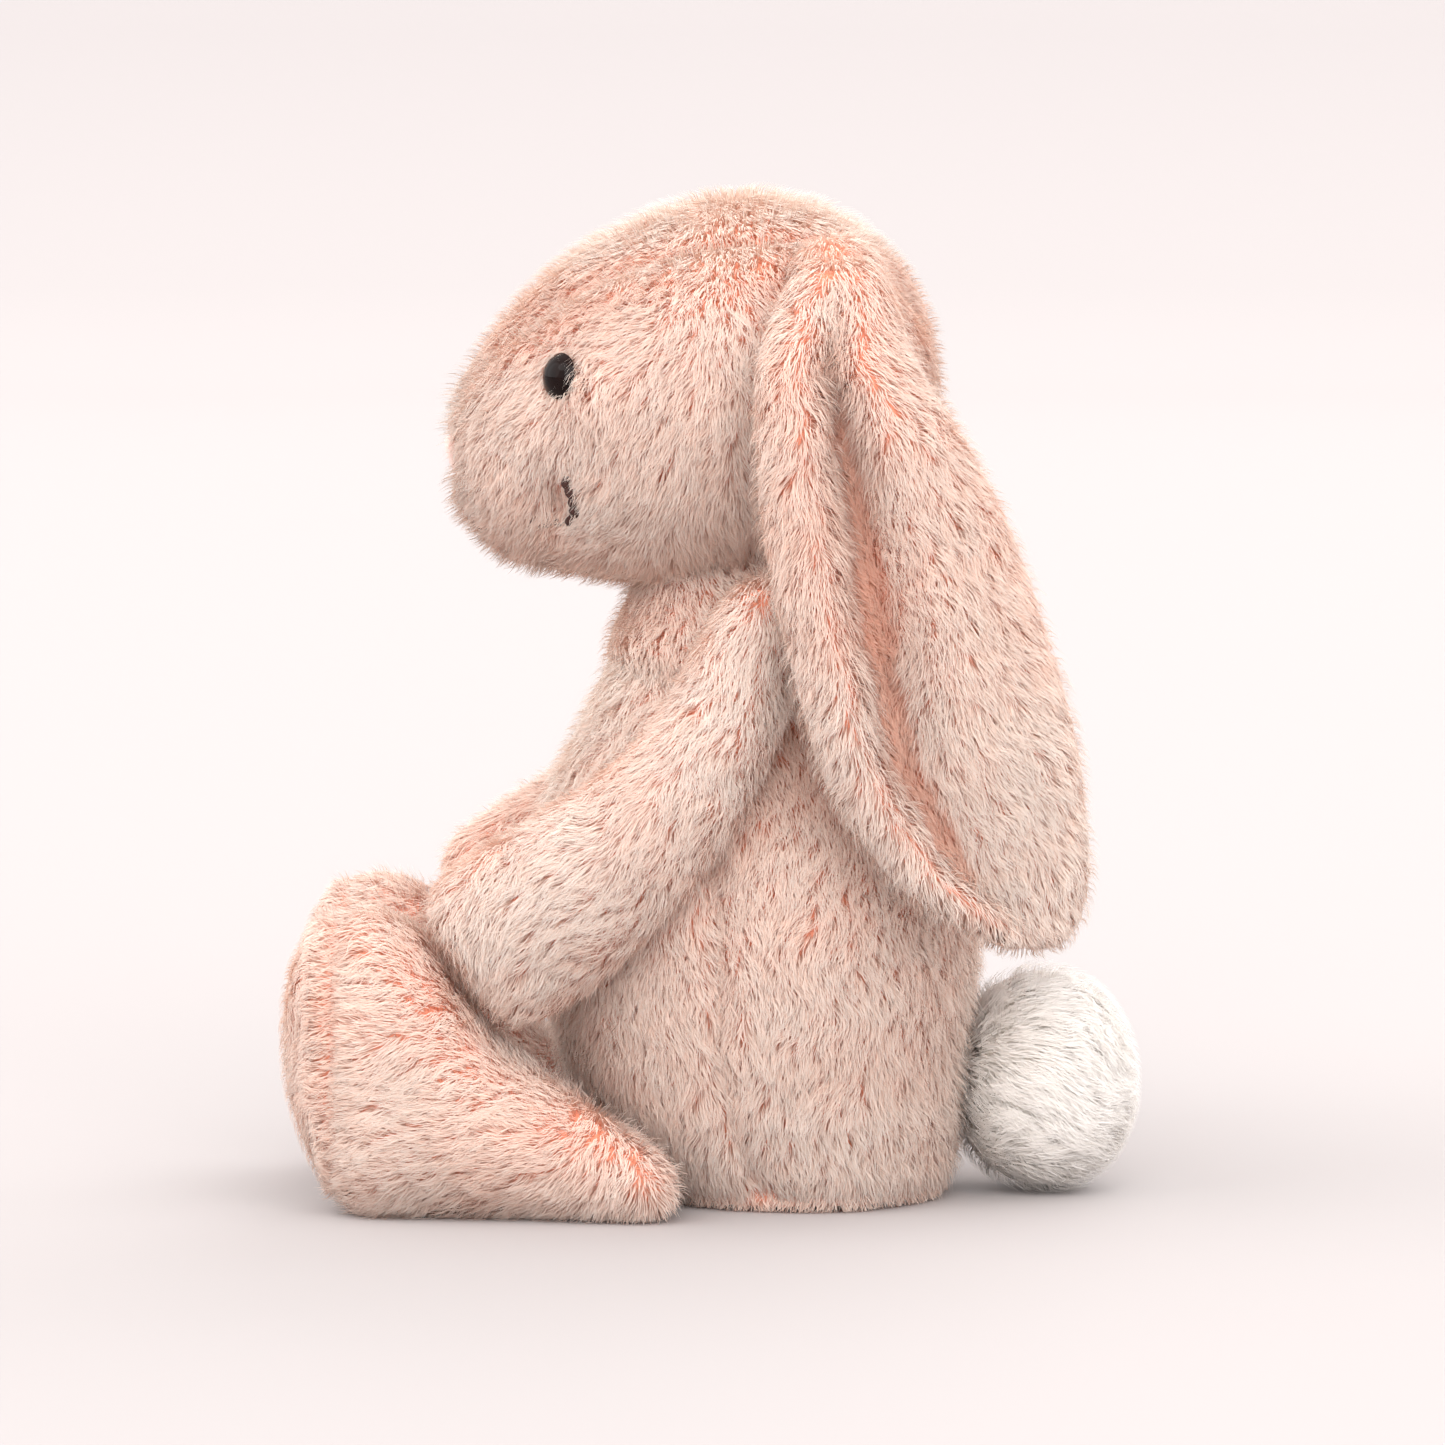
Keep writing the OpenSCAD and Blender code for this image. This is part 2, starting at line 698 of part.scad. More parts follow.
// The sole panel starts a seam's gap in front of the leg's two panels
module foot_sole_left() {
    turn = full_turn(sole_facets);
    ahead = [0, -seam_gap, 0];
    outer = [for (k = [sole_first:leg_last])
        [for (p = form_ring(leg_form, k, turn, pile_h, 0)) p + ahead]];
    inner = [for (k = [sole_first:leg_last])
        [for (p = form_ring(leg_form, k, turn, cloth_inset, cloth_t)) p + ahead]];
    color(fur_colour * 0.98) bowl_loft(outer, inner);
}
module foot_sole_right() {
    on_right() foot_sole_left();
}
module leg_filling_left() {
    filling(leg_form, leg_facets, cloth_t + filling_gap);
}
module leg_filling_right() {
    on_right() leg_filling_left();
}

hip_pivot = [40, -28, 9];
hip_ring_x = 28.4;
module hip_stitching_left() {
    thread_ring_x([hip_ring_x, hip_pivot[1], hip_pivot[2]], hip_ring_d);
}
module hip_stitching_right() {
    on_right() hip_stitching_left();
}

// ---------------------------------------------------------------------------------------------
// Tail: rows from the torso outward, [y, top z, bottom z, half width of a 42 mm tail]
// ---------------------------------------------------------------------------------------------

tail_rows = [
    [32.6, 30, 15, 8],
    [35, 36.4, 8.6, 13.5],
    [39.6, 41.6, 3.4, 18],
    [46.5, 44.6, 0.6, 20.6],
    [53, 45, 0.2, 21],
    [59, 43, 1.6, 19.6],
    [64, 38.6, 6, 16],
    [67.4, 32.4, 12, 10.5],
    [68.6, 27.6, 17, 5.5]
];
tail_square = 2.3;
tail_form = [for (r = tail_rows)
    [[0, r[0], (r[1] + r[2]) / 2], [1, 0, 0], [0, 0, 1],
     r[3] * tail_w / 42, (r[1] - r[2]) / 2, tail_square]];
tail_facets = 20;
tail_filling_facets = 16;
// The form runs away from the torso, so its sections turn the other way round
tail_turned = [for (st = tail_form) [st[0], -st[1], st[2], st[3], st[4], st[5]]];
tail_ring_r = 4.4;
tail_ring_y = 33.8;
tail_thread_d = 1;
tail_ring_z = 22.4;
module tail_cover() {
    turn = full_turn(tail_facets);
    last = len(tail_turned) - 1;
    color(white_fur_colour)
        bowl_loft([for (k = [0:last]) form_ring(tail_turned, k, turn, pile_h, no_floor)],
                  [for (k = [0:last]) form_ring(tail_turned, k, turn, cloth_inset, no_floor)]);
}
module tail_filling() {
    filling(tail_turned, tail_filling_facets);
}
module tail_stitching() {
    color(seam_colour)
        translate([0, tail_ring_y, tail_ring_z]) rotate([90, 0, 0])
            rotate_extrude($fn = round_facets)
                translate([tail_ring_r, 0]) circle(d = tail_thread_d, $fn = round_facets);
}

head_side_left();
head_side_right();
head_gusset();
head_filling();
nose();
mouth_stitch();
eye_left();
eye_right();
eye_washer_left();
eye_washer_right();
neck_stitching();
ear_stitching_left();
ear_stitching_right();
ear_back_left();
ear_back_right();
ear_lining_left();
ear_lining_right();
torso_front();
torso_back_left();
torso_back_right();
torso_base();
torso_filling();
bean_pouch();
beans();
shoulder_stitching_left();
shoulder_stitching_right();
arm_outer_left();
arm_outer_right();
arm_inner_left();
arm_inner_right();
arm_filling_left();
arm_filling_right();
hip_stitching_left();
hip_stitching_right();
leg_outer_left();
leg_outer_right();
leg_inner_left();
leg_inner_right();
foot_sole_left();
foot_sole_right();
leg_filling_left();
leg_filling_right();
tail_stitching();
tail_cover();
tail_filling();
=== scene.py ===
"""Seated lop-eared plush rabbit: skins, pile, eyes, nose, smile, stage, lights and camera."""

import math

import bpy
import numpy as np
from mathutils import Matrix, Vector
from mathutils.bvhtree import BVHTree


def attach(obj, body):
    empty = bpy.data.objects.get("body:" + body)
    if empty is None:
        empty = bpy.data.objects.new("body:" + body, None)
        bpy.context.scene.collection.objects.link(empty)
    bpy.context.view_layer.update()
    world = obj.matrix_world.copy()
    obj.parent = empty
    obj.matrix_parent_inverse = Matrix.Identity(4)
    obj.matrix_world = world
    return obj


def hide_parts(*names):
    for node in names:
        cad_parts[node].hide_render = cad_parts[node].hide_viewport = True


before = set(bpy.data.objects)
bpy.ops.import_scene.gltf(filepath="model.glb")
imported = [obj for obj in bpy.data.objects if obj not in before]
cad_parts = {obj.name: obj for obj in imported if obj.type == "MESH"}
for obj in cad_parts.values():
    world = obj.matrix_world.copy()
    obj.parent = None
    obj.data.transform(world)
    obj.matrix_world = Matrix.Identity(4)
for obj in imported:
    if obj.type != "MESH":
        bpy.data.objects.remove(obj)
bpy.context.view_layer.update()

MM = 0.001
SEED = 20

# ------------------------------------------------
# Numbers that shape the toy. Lengths are in millimetres.
# ------------------------------------------------

# Stuffing: a skin is drawn in, pinned at its seams, blown up by its filling, and capped
STUFFING_REACH = 4.5
STUFFING_DRAW_IN = 0.8
STUFFING_PIN_REACH = 2.6
STUFFING_FLOOR = 1.5
STUFFING_PRESSURE = 60.0
STUFFING_STRETCH = 0.08
STUFFING_BEND = 0.004
STUFFING_MASS = 0.001
STUFFING_FRAMES = 20
STUFFING_CAP = 1.7
GROOVE_WIDTH = 2.0

# Pile: strands per square millimetre, length, standing angle, ribbon width at the root
FUR_DENSITY = 6.0
FUR_LENGTH = 6.2
FUR_LEAN = 33.0
FUR_HEIGHT = 3.3
FUR_WIDTH = 0.23
CLUMP_SIZE = 2.2
FLOW_WANDER = 0.4
# Painted top light: the pile is paler where the skin faces up, which also shows fewer deep roots at
# partings
PAINTED_TOP_LIGHT = 0.3
STRAY_SHARE = 0.25
STRAY_RISE = 1.6
ROOT_DEPTH = 0.3
SUNKEN_SHARE = 0.35
SEAM_REACH = 2.4
SEAM_TRIM = 0.4
FLOOR_CLEARANCE = 0.2
STRANDS_PER_PIECE = 62000
FUR_THROUGH = 0.42

# Smile stitches
STITCH_PITCH = 2.4
STITCH_THICK = 1.8
STITCH_LIFT = 2.2
STITCH_SUNK = 0.2
STITCH_OVERLAP = 1.35
STITCH_DRIFT = 0.16

# Studio
FLOOR_COLOUR = (0.676, 0.656, 0.654)
BACKDROP_COLOUR = (0.634, 0.614, 0.613)
BACKDROP_RISE = 235.0
BACKDROP_HALFWAY = 0.25
WORLD_COLOUR = (1.0, 0.985, 0.98)
WORLD_STRENGTH = 1.56
SUNS = (("key", (0.5, -0.45, 0.74), 0.7, 35.0),
        ("fill", (0.9, 0.15, 0.4), 2.85, 60.0),
        ("front", (0.15, -0.9, 0.35), 1.0, 60.0),
        ("back", (-0.75, 0.45, 0.4), 1.6, 60.0))

SIDES = (("left", 1.0), ("right", -1.0))


def unit(v):
    return v / np.maximum(np.linalg.norm(v, axis=-1, keepdims=True), 1e-9)


def smoothstep(low, high, x):
    t = np.clip((x - low) / (high - low), 0.0, 1.0)
    return t * t * (3.0 - 2.0 * t)


# ------------------------------------------------
# Noise, from hashed lattice points, so that it is the same on every run
# ------------------------------------------------

def hashed(cells, channel):
    """Repeatable random numbers from 0 to 1, one for each integer cell."""
    c = cells.astype(np.int64)
    h = c[..., 0] * 73856093 ^ c[..., 1] * 19349663 ^ c[..., 2] * 83492791
    h = (h ^ (channel * 2654435761 + SEED * 40503)) & 0xFFFFFFFF
    h = (h ^ (h >> 16)) * 0x45D9F3B & 0xFFFFFFFF
    h = (h ^ (h >> 16)) * 0x45D9F3B & 0xFFFFFFFF
    return ((h ^ (h >> 16)) & 0xFFFFFF) / float(0x1000000)


def noise(points, size, channel):
    """Smooth noise from -1 to 1 at a feature size in millimetres."""
    p = points / size
    base = np.floor(p)
    f = p - base
    f = f * f * (3.0 - 2.0 * f)
    total = np.zeros(len(points))
    for corner in np.ndindex(2, 2, 2):
        corner = np.array(corner)
        weight = np.prod(np.where(corner, f, 1.0 - f), axis=1)
        total += weight * hashed(base + corner, channel)
    return total * 2.0 - 1.0


def clumps(points, size, channel):
    """The centre and a random number of the tuft that each point belongs to."""
    base = np.floor(points / size)
    best = np.full(len(points), 1e9)
    centre = np.zeros_like(points)
    tone = np.zeros(len(points))
    for step in np.ndindex(3, 3, 3):
        cell = base + np.array(step) - 1.0
        jitter = np.stack([hashed(cell, channel + k) for k in range(3)], axis=1)
        spot = (cell + jitter) * size
        gap = np.linalg.norm(points - spot, axis=1)
        near = gap < best
        best[near] = gap[near]
        centre[near] = spot[near]
        tone[near] = hashed(cell, channel + 3)[near]
    return centre, tone


# ------------------------------------------------
# Materials
# ------------------------------------------------

def linear(r, g, b):
    """A display colour as the linear colour that shaders take."""
    def channel(c):
        return c / 12.92 if c <= 0.04045 else ((c + 0.055) / 1.055) ** 2.4
    return (channel(r), channel(g), channel(b), 1.0)


class Nodes:
    """Short names for building a node material."""

    def __init__(self, name):
        self.material = bpy.data.materials.new(name)
        self.material.use_nodes = True
        self.tree = self.material.node_tree
        self.tree.nodes.clear()
        self.out = self.add("ShaderNodeOutputMaterial")
        self.shader = self.add("ShaderNodeBsdfPrincipled")
        self.link(self.shader.outputs[0], self.out.inputs["Surface"])

    def add(self, kind, **values):
        node = self.tree.nodes.new(kind)
        for key, value in values.items():
            setattr(node, key, value)
        return node

    def link(self, a, b):
        self.tree.links.new(a, b)

    def set(self, **values):
        for key, value in values.items():
            self.shader.inputs[key.replace("_", " ")].default_value = value

    def ramp(self, source, stops):
        node = self.add("ShaderNodeValToRGB")
        elements = node.color_ramp.elements
        while len(elements) < len(stops):
            elements.new(0.5)
        for element, (at, colour) in zip(elements, stops):
            element.position = at
            element.color = colour
        self.link(source, node.inputs["Fac"])
        return node.outputs["Color"]

    def mix(self, factor, a, b):
        node = self.add("ShaderNodeMix", data_type="RGBA")
        self.link(factor, node.inputs["Factor"])
        self.link(a, node.inputs["A"])
        self.link(b, node.inputs["B"])
        return node.outputs["Result"]

    def noise(self, scale):
        coords = self.add("ShaderNodeTexCoord")
        node = self.add("ShaderNodeTexNoise")
        node.inputs["Scale"].default_value = scale
        node.inputs["Detail"].default_value = 3.0
        node.inputs["Roughness"].default_value = 0.6
        self.link(coords.outputs["Object"], node.inputs["Vector"])
        return node.outputs["Fac"]

    def bump(self, height, strength, distance):
        node = self.add("ShaderNodeBump")
        node.inputs["Strength"].default_value = strength
        node.inputs["Distance"].default_value = distance
        self.link(height, node.inputs["Height"])
        self.link(node.outputs["Normal"], self.shader.inputs["Normal"])


PILE_STOPS = (0.0, 0.3, 0.65, 1.0)


def fur_material(name, roots, tips_pale, tips_deep, inner):
    """Pile coloured from root to tip, and from strand to strand, by the strands' own UV. The
    light that passes through a strand takes the deeper inner colours."""
    n = Nodes(name)
    uv = n.add("ShaderNodeUVMap", uv_map="OFBake")
    split = n.add("ShaderNodeSeparateXYZ")
    n.link(uv.outputs["UV"], split.inputs[0])
    pale = n.ramp(split.outputs["Y"], list(zip(PILE_STOPS, (roots[0], *tips_pale))))
    deep = n.ramp(split.outputs["Y"], list(zip(PILE_STOPS, (roots[1], *tips_deep))))
    colour = n.mix(split.outputs["X"], deep, pale)
    n.link(colour, n.shader.inputs["Base Color"])
    n.set(Roughness=0.9, Specular_IOR_Level=0.15, Sheen_Weight=0.15, Sheen_Roughness=0.5)
    through = n.add("ShaderNodeBsdfTranslucent")
    lit = [n.ramp(split.outputs["Y"], list(zip((0.0, 1.0), pair))) for pair in inner]
    n.link(n.mix(split.outputs["X"], lit[1], lit[0]), through.inputs["Color"])
    both = n.add("ShaderNodeMixShader")
    both.inputs["Fac"].default_value = FUR_THROUGH
    n.link(n.shader.outputs[0], both.inputs[1])
    n.link(through.outputs[0], both.inputs[2])
    n.link(both.outputs[0], n.out.inputs["Surface"])
    return n.material


def backing_material(name, dark, light):
    """The knitted backing cloth, seen only where the pile parts."""
    n = Nodes(name)
    grain = n.noise(900.0)
    n.link(n.ramp(grain, [(0.3, dark), (0.75, light)]), n.shader.inputs["Base Color"])
    n.bump(grain, 0.5, 0.0006)
    n.set(Roughness=0.95, Specular_IOR_Level=0.1)
    return n.material


BLUSH_ROOTS = (linear(0.94, 0.79, 0.71), linear(0.89, 0.61, 0.50))
BLUSH_PALE = (linear(0.95, 0.87, 0.815), linear(0.955, 0.93, 0.895), linear(0.96, 0.955, 0.94))
BLUSH_DEEP = (linear(0.94, 0.785, 0.705), linear(0.95, 0.86, 0.80), linear(0.955, 0.91, 0.87))
BLUSH_INNER = ((linear(0.94, 0.75, 0.66), linear(0.955, 0.89, 0.84)),
               (linear(0.92, 0.62, 0.49), linear(0.95, 0.80, 0.71)))
LINING_ROOTS = (linear(0.90, 0.67, 0.57), linear(0.85, 0.58, 0.48))
LINING_PALE = (linear(0.94, 0.79, 0.71), linear(0.955, 0.85, 0.785), linear(0.965, 0.895, 0.845))
LINING_DEEP = (linear(0.91, 0.71, 0.61), linear(0.935, 0.78, 0.70), linear(0.95, 0.84, 0.77))
LINING_INNER = ((linear(0.92, 0.64, 0.52), linear(0.95, 0.78, 0.69)),
                (linear(0.92, 0.58, 0.45), linear(0.95, 0.73, 0.62)))
WHITE_ROOTS = (linear(0.97, 0.95, 0.93), linear(0.93, 0.90, 0.87))
WHITE_PALE = (linear(0.985, 0.97, 0.96), linear(0.99, 0.985, 0.98), linear(0.995, 0.99, 0.985))
WHITE_DEEP = (linear(0.96, 0.94, 0.92), linear(0.975, 0.96, 0.945), linear(0.985, 0.975, 0.965))
WHITE_INNER = ((linear(0.95, 0.92, 0.89), linear(0.985, 0.97, 0.955)),
               (linear(0.94, 0.91, 0.87), linear(0.98, 0.965, 0.94)))

blush_fur = fur_material("blush_fur", BLUSH_ROOTS, BLUSH_PALE, BLUSH_DEEP, BLUSH_INNER)
lining_fur = fur_material("lining_fur", LINING_ROOTS, LINING_PALE, LINING_DEEP, LINING_INNER)
white_fur = fur_material("white_fur", WHITE_ROOTS, WHITE_PALE, WHITE_DEEP, WHITE_INNER)
blush_backing = backing_material("blush_backing", linear(0.90, 0.58, 0.47),
                                 linear(0.95, 0.68, 0.58))
white_backing = backing_material("white_backing", linear(0.92, 0.90, 0.87),
                                 linear(0.96, 0.95, 0.93))


# ------------------------------------------------
# Skins: the stuffed cloth under the pile, made from the frame's covers and fillings
# ------------------------------------------------

def new_object(name, mesh, material=None):
    obj = bpy.data.objects.new(name, mesh)
    bpy.context.scene.collection.objects.link(obj)
    if material:
        mesh.materials.append(material)
    return obj


def mesh_from(name, points, faces):
    mesh = bpy.data.meshes.new(name)
    mesh.from_pydata([tuple(p) for p in points], [], [tuple(f) for f in faces])
    mesh.update()
    return mesh


def shade_smooth(mesh):
    mesh.polygons.foreach_set("use_smooth", [True] * len(mesh.polygons))


def add_soften(obj, times):
    soften = obj.modifiers.new("soften", "SMOOTH")
    soften.factor = 0.5
    soften.iterations = times


def coordinates(mesh):
    """A mesh's vertices, in millimetres."""
    co = np.empty(len(mesh.vertices) * 3)
    mesh.vertices.foreach_get("co", co)
    return co.reshape(-1, 3) / MM


def place(mesh, points):
    mesh.vertices.foreach_set("co", (points * MM).ravel())
    mesh.update()


def vertex_normals(mesh):
    no = np.empty(len(mesh.vertices) * 3)
    mesh.vertex_normals.foreach_get("vector", no)
    return no.reshape(-1, 3)


def triangles(mesh):
    mesh.calc_loop_triangles()
    tri = np.empty(len(mesh.loop_triangles) * 3, dtype=np.int32)
    mesh.loop_triangles.foreach_get("vertices", tri)
    return tri.reshape(-1, 3)


def joined_nodes(names):
    """Vertices in metres, and triangles, of several frame nodes as one mesh."""
    points, faces, shift = [], [], 0
    for name in names:
        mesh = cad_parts[name].data
        points.append(coordinates(mesh) * MM)
        faces.append(triangles(mesh) + shift)
        shift += len(mesh.vertices)
    return np.concatenate(points), np.concatenate(faces)


def tree_of(points, faces):
    return BVHTree.FromPolygons(points.tolist(), faces.tolist())


def applied(obj):
    """Replaces an object's mesh by its mesh with every modifier applied."""
    graph = bpy.context.evaluated_depsgraph_get()
    mesh = bpy.data.meshes.new_from_object(obj.evaluated_get(graph))
    obj.modifiers.clear()
    old = obj.data
    obj.data = mesh
    bpy.data.meshes.remove(old)
    return obj


def largest_island(obj):
    """Leaves only the island with the largest reach: the outer skin, and no inner hollow."""
    mesh = obj.data
    count = len(mesh.vertices)
    near = [[] for _ in range(count)]
    for edge in mesh.edges:
        a, b = edge.vertices
        near[a].append(b)
        near[b].append(a)
    label = [-1] * count
    islands = []
    for start in range(count):
        if label[start] >= 0:
            continue
        label[start] = len(islands)
        island = [start]
        for a in island:
            for b in near[a]:
                if label[b] < 0:
                    label[b] = label[start]
                    island.append(b)
        islands.append(island)
    if len(islands) == 1:
        return
    points = coordinates(mesh)
    best = max(range(len(islands)), key=lambda k: float(np.ptp(points[islands[k]], axis=0).sum()))
    order = {v: k for k, v in enumerate(islands[best])}
    faces = [[order[v] for v in f.vertices] for f in mesh.polygons if label[f.vertices[0]] == best]
    obj.data = mesh_from(mesh.name, points[islands[best]] * MM, faces)
    bpy.data.meshes.remove(mesh)


def raw_skin(name, nodes, voxel, smooth):
    """One closed skin around several frame nodes."""
    points, faces = joined_nodes(nodes)
    obj = new_object(name, mesh_from(name, points, faces))
    remesh = obj.modifiers.new("remesh", "REMESH")
    remesh.mode = "VOXEL"
    remesh.voxel_size = voxel * MM
    add_soften(obj, smooth)
    applied(obj)
    largest_island(obj)
    return obj


def seam_distance(points, panels):
    """Distance of each point from the nearest seam: that of the second nearest panel."""
    if len(panels) < 2:
        return np.full(len(points), 99.0)
    gaps = []
    for panel in panels:
        tree = tree_of(*joined_nodes([panel]))
        gaps.append([tree.find_nearest(p)[3] / MM for p in (points * MM).tolist()])
    return np.sort(np.array(gaps), axis=0)[1]


class Part:
    """One stuffed body part: its skin while it is made, and what is known about its surface."""

    def __init__(self, name, body, nodes, panels, slot, backing, fill, voxel=3.6, smooth=3,
                 groove=1.3, stuffed=True, dent=None, skin=None):
        self.body, self.nodes, self.panels = body, nodes, panels
        self.slot, self.backing, self.fill = slot, backing, fill
        self.groove, self.stuffed, self.dent = groove, stuffed, dent
        self.skin = skin or raw_skin(name, nodes, voxel, smooth)
        if not skin:
            self.fill_out()
        if stuffed:
            self.prepare_stuffing()

    def fill_out(self):
        """Pushes the skin out to the outer surface of the covers, which smoothing left."""
        mesh = self.skin.data
        points, normals = coordinates(mesh), vertex_normals(mesh)
        tree = tree_of(*joined_nodes(self.nodes))
        move = np.zeros(len(points))
        for k, (p, n) in enumerate(zip((points * MM).tolist(), normals.tolist())):
            far = tree.ray_cast(p, n, STUFFING_REACH * MM)[3]
            if far is not None:
                again = tree.ray_cast(Vector(p) + Vector(n) * (far + 1e-6), n,
                                      (STUFFING_REACH - far / MM) * MM)[3]
                move[k] = (far + (again or 0.0)) / MM
        place(mesh, points + normals * move[:, None])
        add_soften(self.skin, 1)
        applied(self.skin)

    def prepare_stuffing(self):
        """Draws the skin in, pins its seams, and gives it the pressure of its filling."""
        mesh = self.skin.data
        points = coordinates(mesh)
        self.rest = points - vertex_normals(mesh) * STUFFING_DRAW_IN
        place(mesh, self.rest)
        pins = self.skin.vertex_groups.new(name="seams")
        held = seam_distance(points, self.panels) < STUFFING_PIN_REACH
        held |= points[:, 2] < STUFFING_FLOOR
        for index in np.flatnonzero(held).tolist():
            pins.add([index], 1.0, "REPLACE")
        cloth = self.skin.modifiers.new("stuffing", "CLOTH")
        settings = cloth.settings
        settings.use_pressure = True
        settings.uniform_pressure_force = STUFFING_PRESSURE
        settings.mass = STUFFING_MASS
        settings.tension_stiffness = STUFFING_STRETCH
        settings.compression_stiffness = STUFFING_STRETCH
        settings.shear_stiffness = STUFFING_STRETCH
        settings.bending_stiffness = STUFFING_BEND
        settings.effector_weights.gravity = 0.0
        settings.vertex_group_mass = "seams"
        cloth.point_cache.frame_start = 1
        cloth.point_cache.frame_end = STUFFING_FRAMES

    def take_stuffing(self):
        """Applies the simulated shape. No point moves further than STUFFING_CAP."""
        if not self.stuffed:
            return
        applied(self.skin)
        move = coordinates(self.skin.data) - self.rest
        far = np.linalg.norm(move, axis=1, keepdims=True)
        share = np.minimum(1.0, STUFFING_CAP / np.maximum(far, 1e-6))
        place(self.skin.data, self.rest + move * share)
        self.skin.vertex_groups.clear()

    def finish(self):
        """Subdivides and sculpts the skin, and ties it to the frame."""
        divide = self.skin.modifiers.new("divide", "SUBSURF")
        divide.levels = 1
        applied(self.skin)
        mesh = self.skin.data
        points, normals = coordinates(mesh), vertex_normals(mesh)
        self.seams = seam_distance(points, self.panels)
        push = -self.groove * np.exp(-(self.seams / GROOVE_WIDTH) ** 2)
        if self.dent:
            push = push + self.dent(points, normals)
        points = points + normals * push[:, None]
        points[:, 2] = np.maximum(points[:, 2], 0.0)
        place(mesh, points)
        mesh.materials.clear()
        mesh.materials.append(self.backing)
        shade_smooth(mesh)
        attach(self.skin, self.body)
        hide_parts(*self.nodes)
        self.points, self.normals = points, vertex_normals(mesh)
        self.triangles = triangles(mesh)
        self.tree = tree_of(self.points, self.triangles)

    def scatter(self, per_area, rng):
        """Random points on the skin, with their normals and distances from a seam."""
        a, b, c = (self.points[self.triangles[:, k]] for k in range(3))
        area = np.linalg.norm(np.cross(b - a, c - a), axis=1) / 2.0
        count = int(area.sum() * per_area)
        edges = np.cumsum(area)
        picks = (np.arange(count) + rng.random(count)) / count * edges[-1]
        face = np.minimum(np.searchsorted(edges, picks), len(area) - 1)
        r1 = np.sqrt(rng.random(count))
        r2 = rng.random(count)
        weights = np.stack([1.0 - r1, r1 * (1.0 - r2), r1 * r2], axis=1)
        corners = self.triangles[face]
        point = np.einsum("ik,ikj->ij", weights, self.points[corners])
        normal = unit(np.einsum("ik,ikj->ij", weights, self.normals[corners]))
        return point, normal, np.einsum("ik,ik->i", weights, self.seams[corners])

    def settled(self, points, heights):
        """Points brought back to a height above the skin, where they stand off it or in it."""
        out = points.copy()
        for k, (p, height) in enumerate(zip(points.tolist(), heights.tolist())):
            spot, normal, _, far = self.tree.find_nearest(p)
            offset = Vector(p) - spot
            if offset.dot(normal) < 0.0:
                out[k] = spot + normal * (height * SUNKEN_SHARE)
            elif far > height:
                out[k] = spot + offset * (height / far)
        return out


# ------------------------------------------------
# Pile: each strand is a narrow tapering ribbon of a quad and a triangle
# ------------------------------------------------

def onto_surface(vectors, normals):
    """The part of each vector that lies along the surface, at unit length."""
    return unit(vectors - normals * np.sum(vectors * normals, axis=1, keepdims=True))


def turned(vectors, normals, angles):
    """Vectors in the surface turned about its normal, by angles in radians."""
    side = np.cross(normals, vectors)
    return vectors * np.cos(angles)[:, None] + side * np.sin(angles)[:, None]


def ribbon_mesh(name, root, middle, tip, across, width, shade, normals):
    """One mesh of ribbons. shade is the UV's u, and v runs from 0 at the root to 1 at the tip."""
    count = len(root)
    w = (width / 2.0)[:, None] * across
    rows = np.stack([root - w, root + w, middle - w * 0.85, middle + w * 0.85, tip], axis=1)
    mesh = bpy.data.meshes.new(name)
    mesh.vertices.add(count * 5)
    mesh.vertices.foreach_set("co", (rows * MM).astype(np.float32).ravel())
    start = np.arange(count)[:, None] * 5
    loops = np.concatenate([start + [0, 1, 3, 2], start + [2, 3, 4]], axis=1)
    mesh.loops.add(count * 7)
    mesh.loops.foreach_set("vertex_index", loops.astype(np.int32).ravel())
    first = np.arange(count)[:, None] * 7 + [0, 4]
    mesh.polygons.add(count * 2)
    mesh.polygons.foreach_set("loop_start", first.astype(np.int32).ravel())
    mesh.polygons.foreach_set("use_smooth", np.ones(count * 2, dtype=bool))
    mesh.update(calc_edges=True)
    uv = mesh.uv_layers.new(name="OFBake")
    u = np.clip(shade, 0.01, 0.97)[:, None] + np.array([0, 1, 1, 0, 0, 1, 0.5]) * 0.012
    v = np.array([0.01, 0.01, 0.5, 0.5, 0.5, 0.5, 0.99]) + np.zeros((count, 1))
    uv.data.foreach_set("uv", np.stack([u, v], axis=2).astype(np.float32).ravel())
    mesh.normals_split_custom_set_from_vertices(np.repeat(normals, 5, axis=0).tolist())
    return mesh


class Pile:
    """How the strands of one piece grow. Each function takes points, normals and distances
    from the nearest seam, and gives one number for each point."""

    def __init__(self, flow, material, slot, density=FUR_DENSITY, length=FUR_LENGTH,
                 lean=FUR_LEAN, width=FUR_WIDTH, clump=CLUMP_SIZE, swirl=0.36, pull=0.3,
                 cap=FUR_HEIGHT, length_of=None, lean_of=None, cap_of=None, shade_of=None,
                 keep=None):
        self.flow, self.material, self.slot = flow, material, slot
        self.density, self.length, self.lean, self.width = density, length, lean, width
        self.clump, self.swirl, self.pull, self.cap = clump, swirl, pull, cap
        self.length_of, self.lean_of, self.cap_of = length_of, lean_of, cap_of
        self.shade_of, self.keep = shade_of, keep


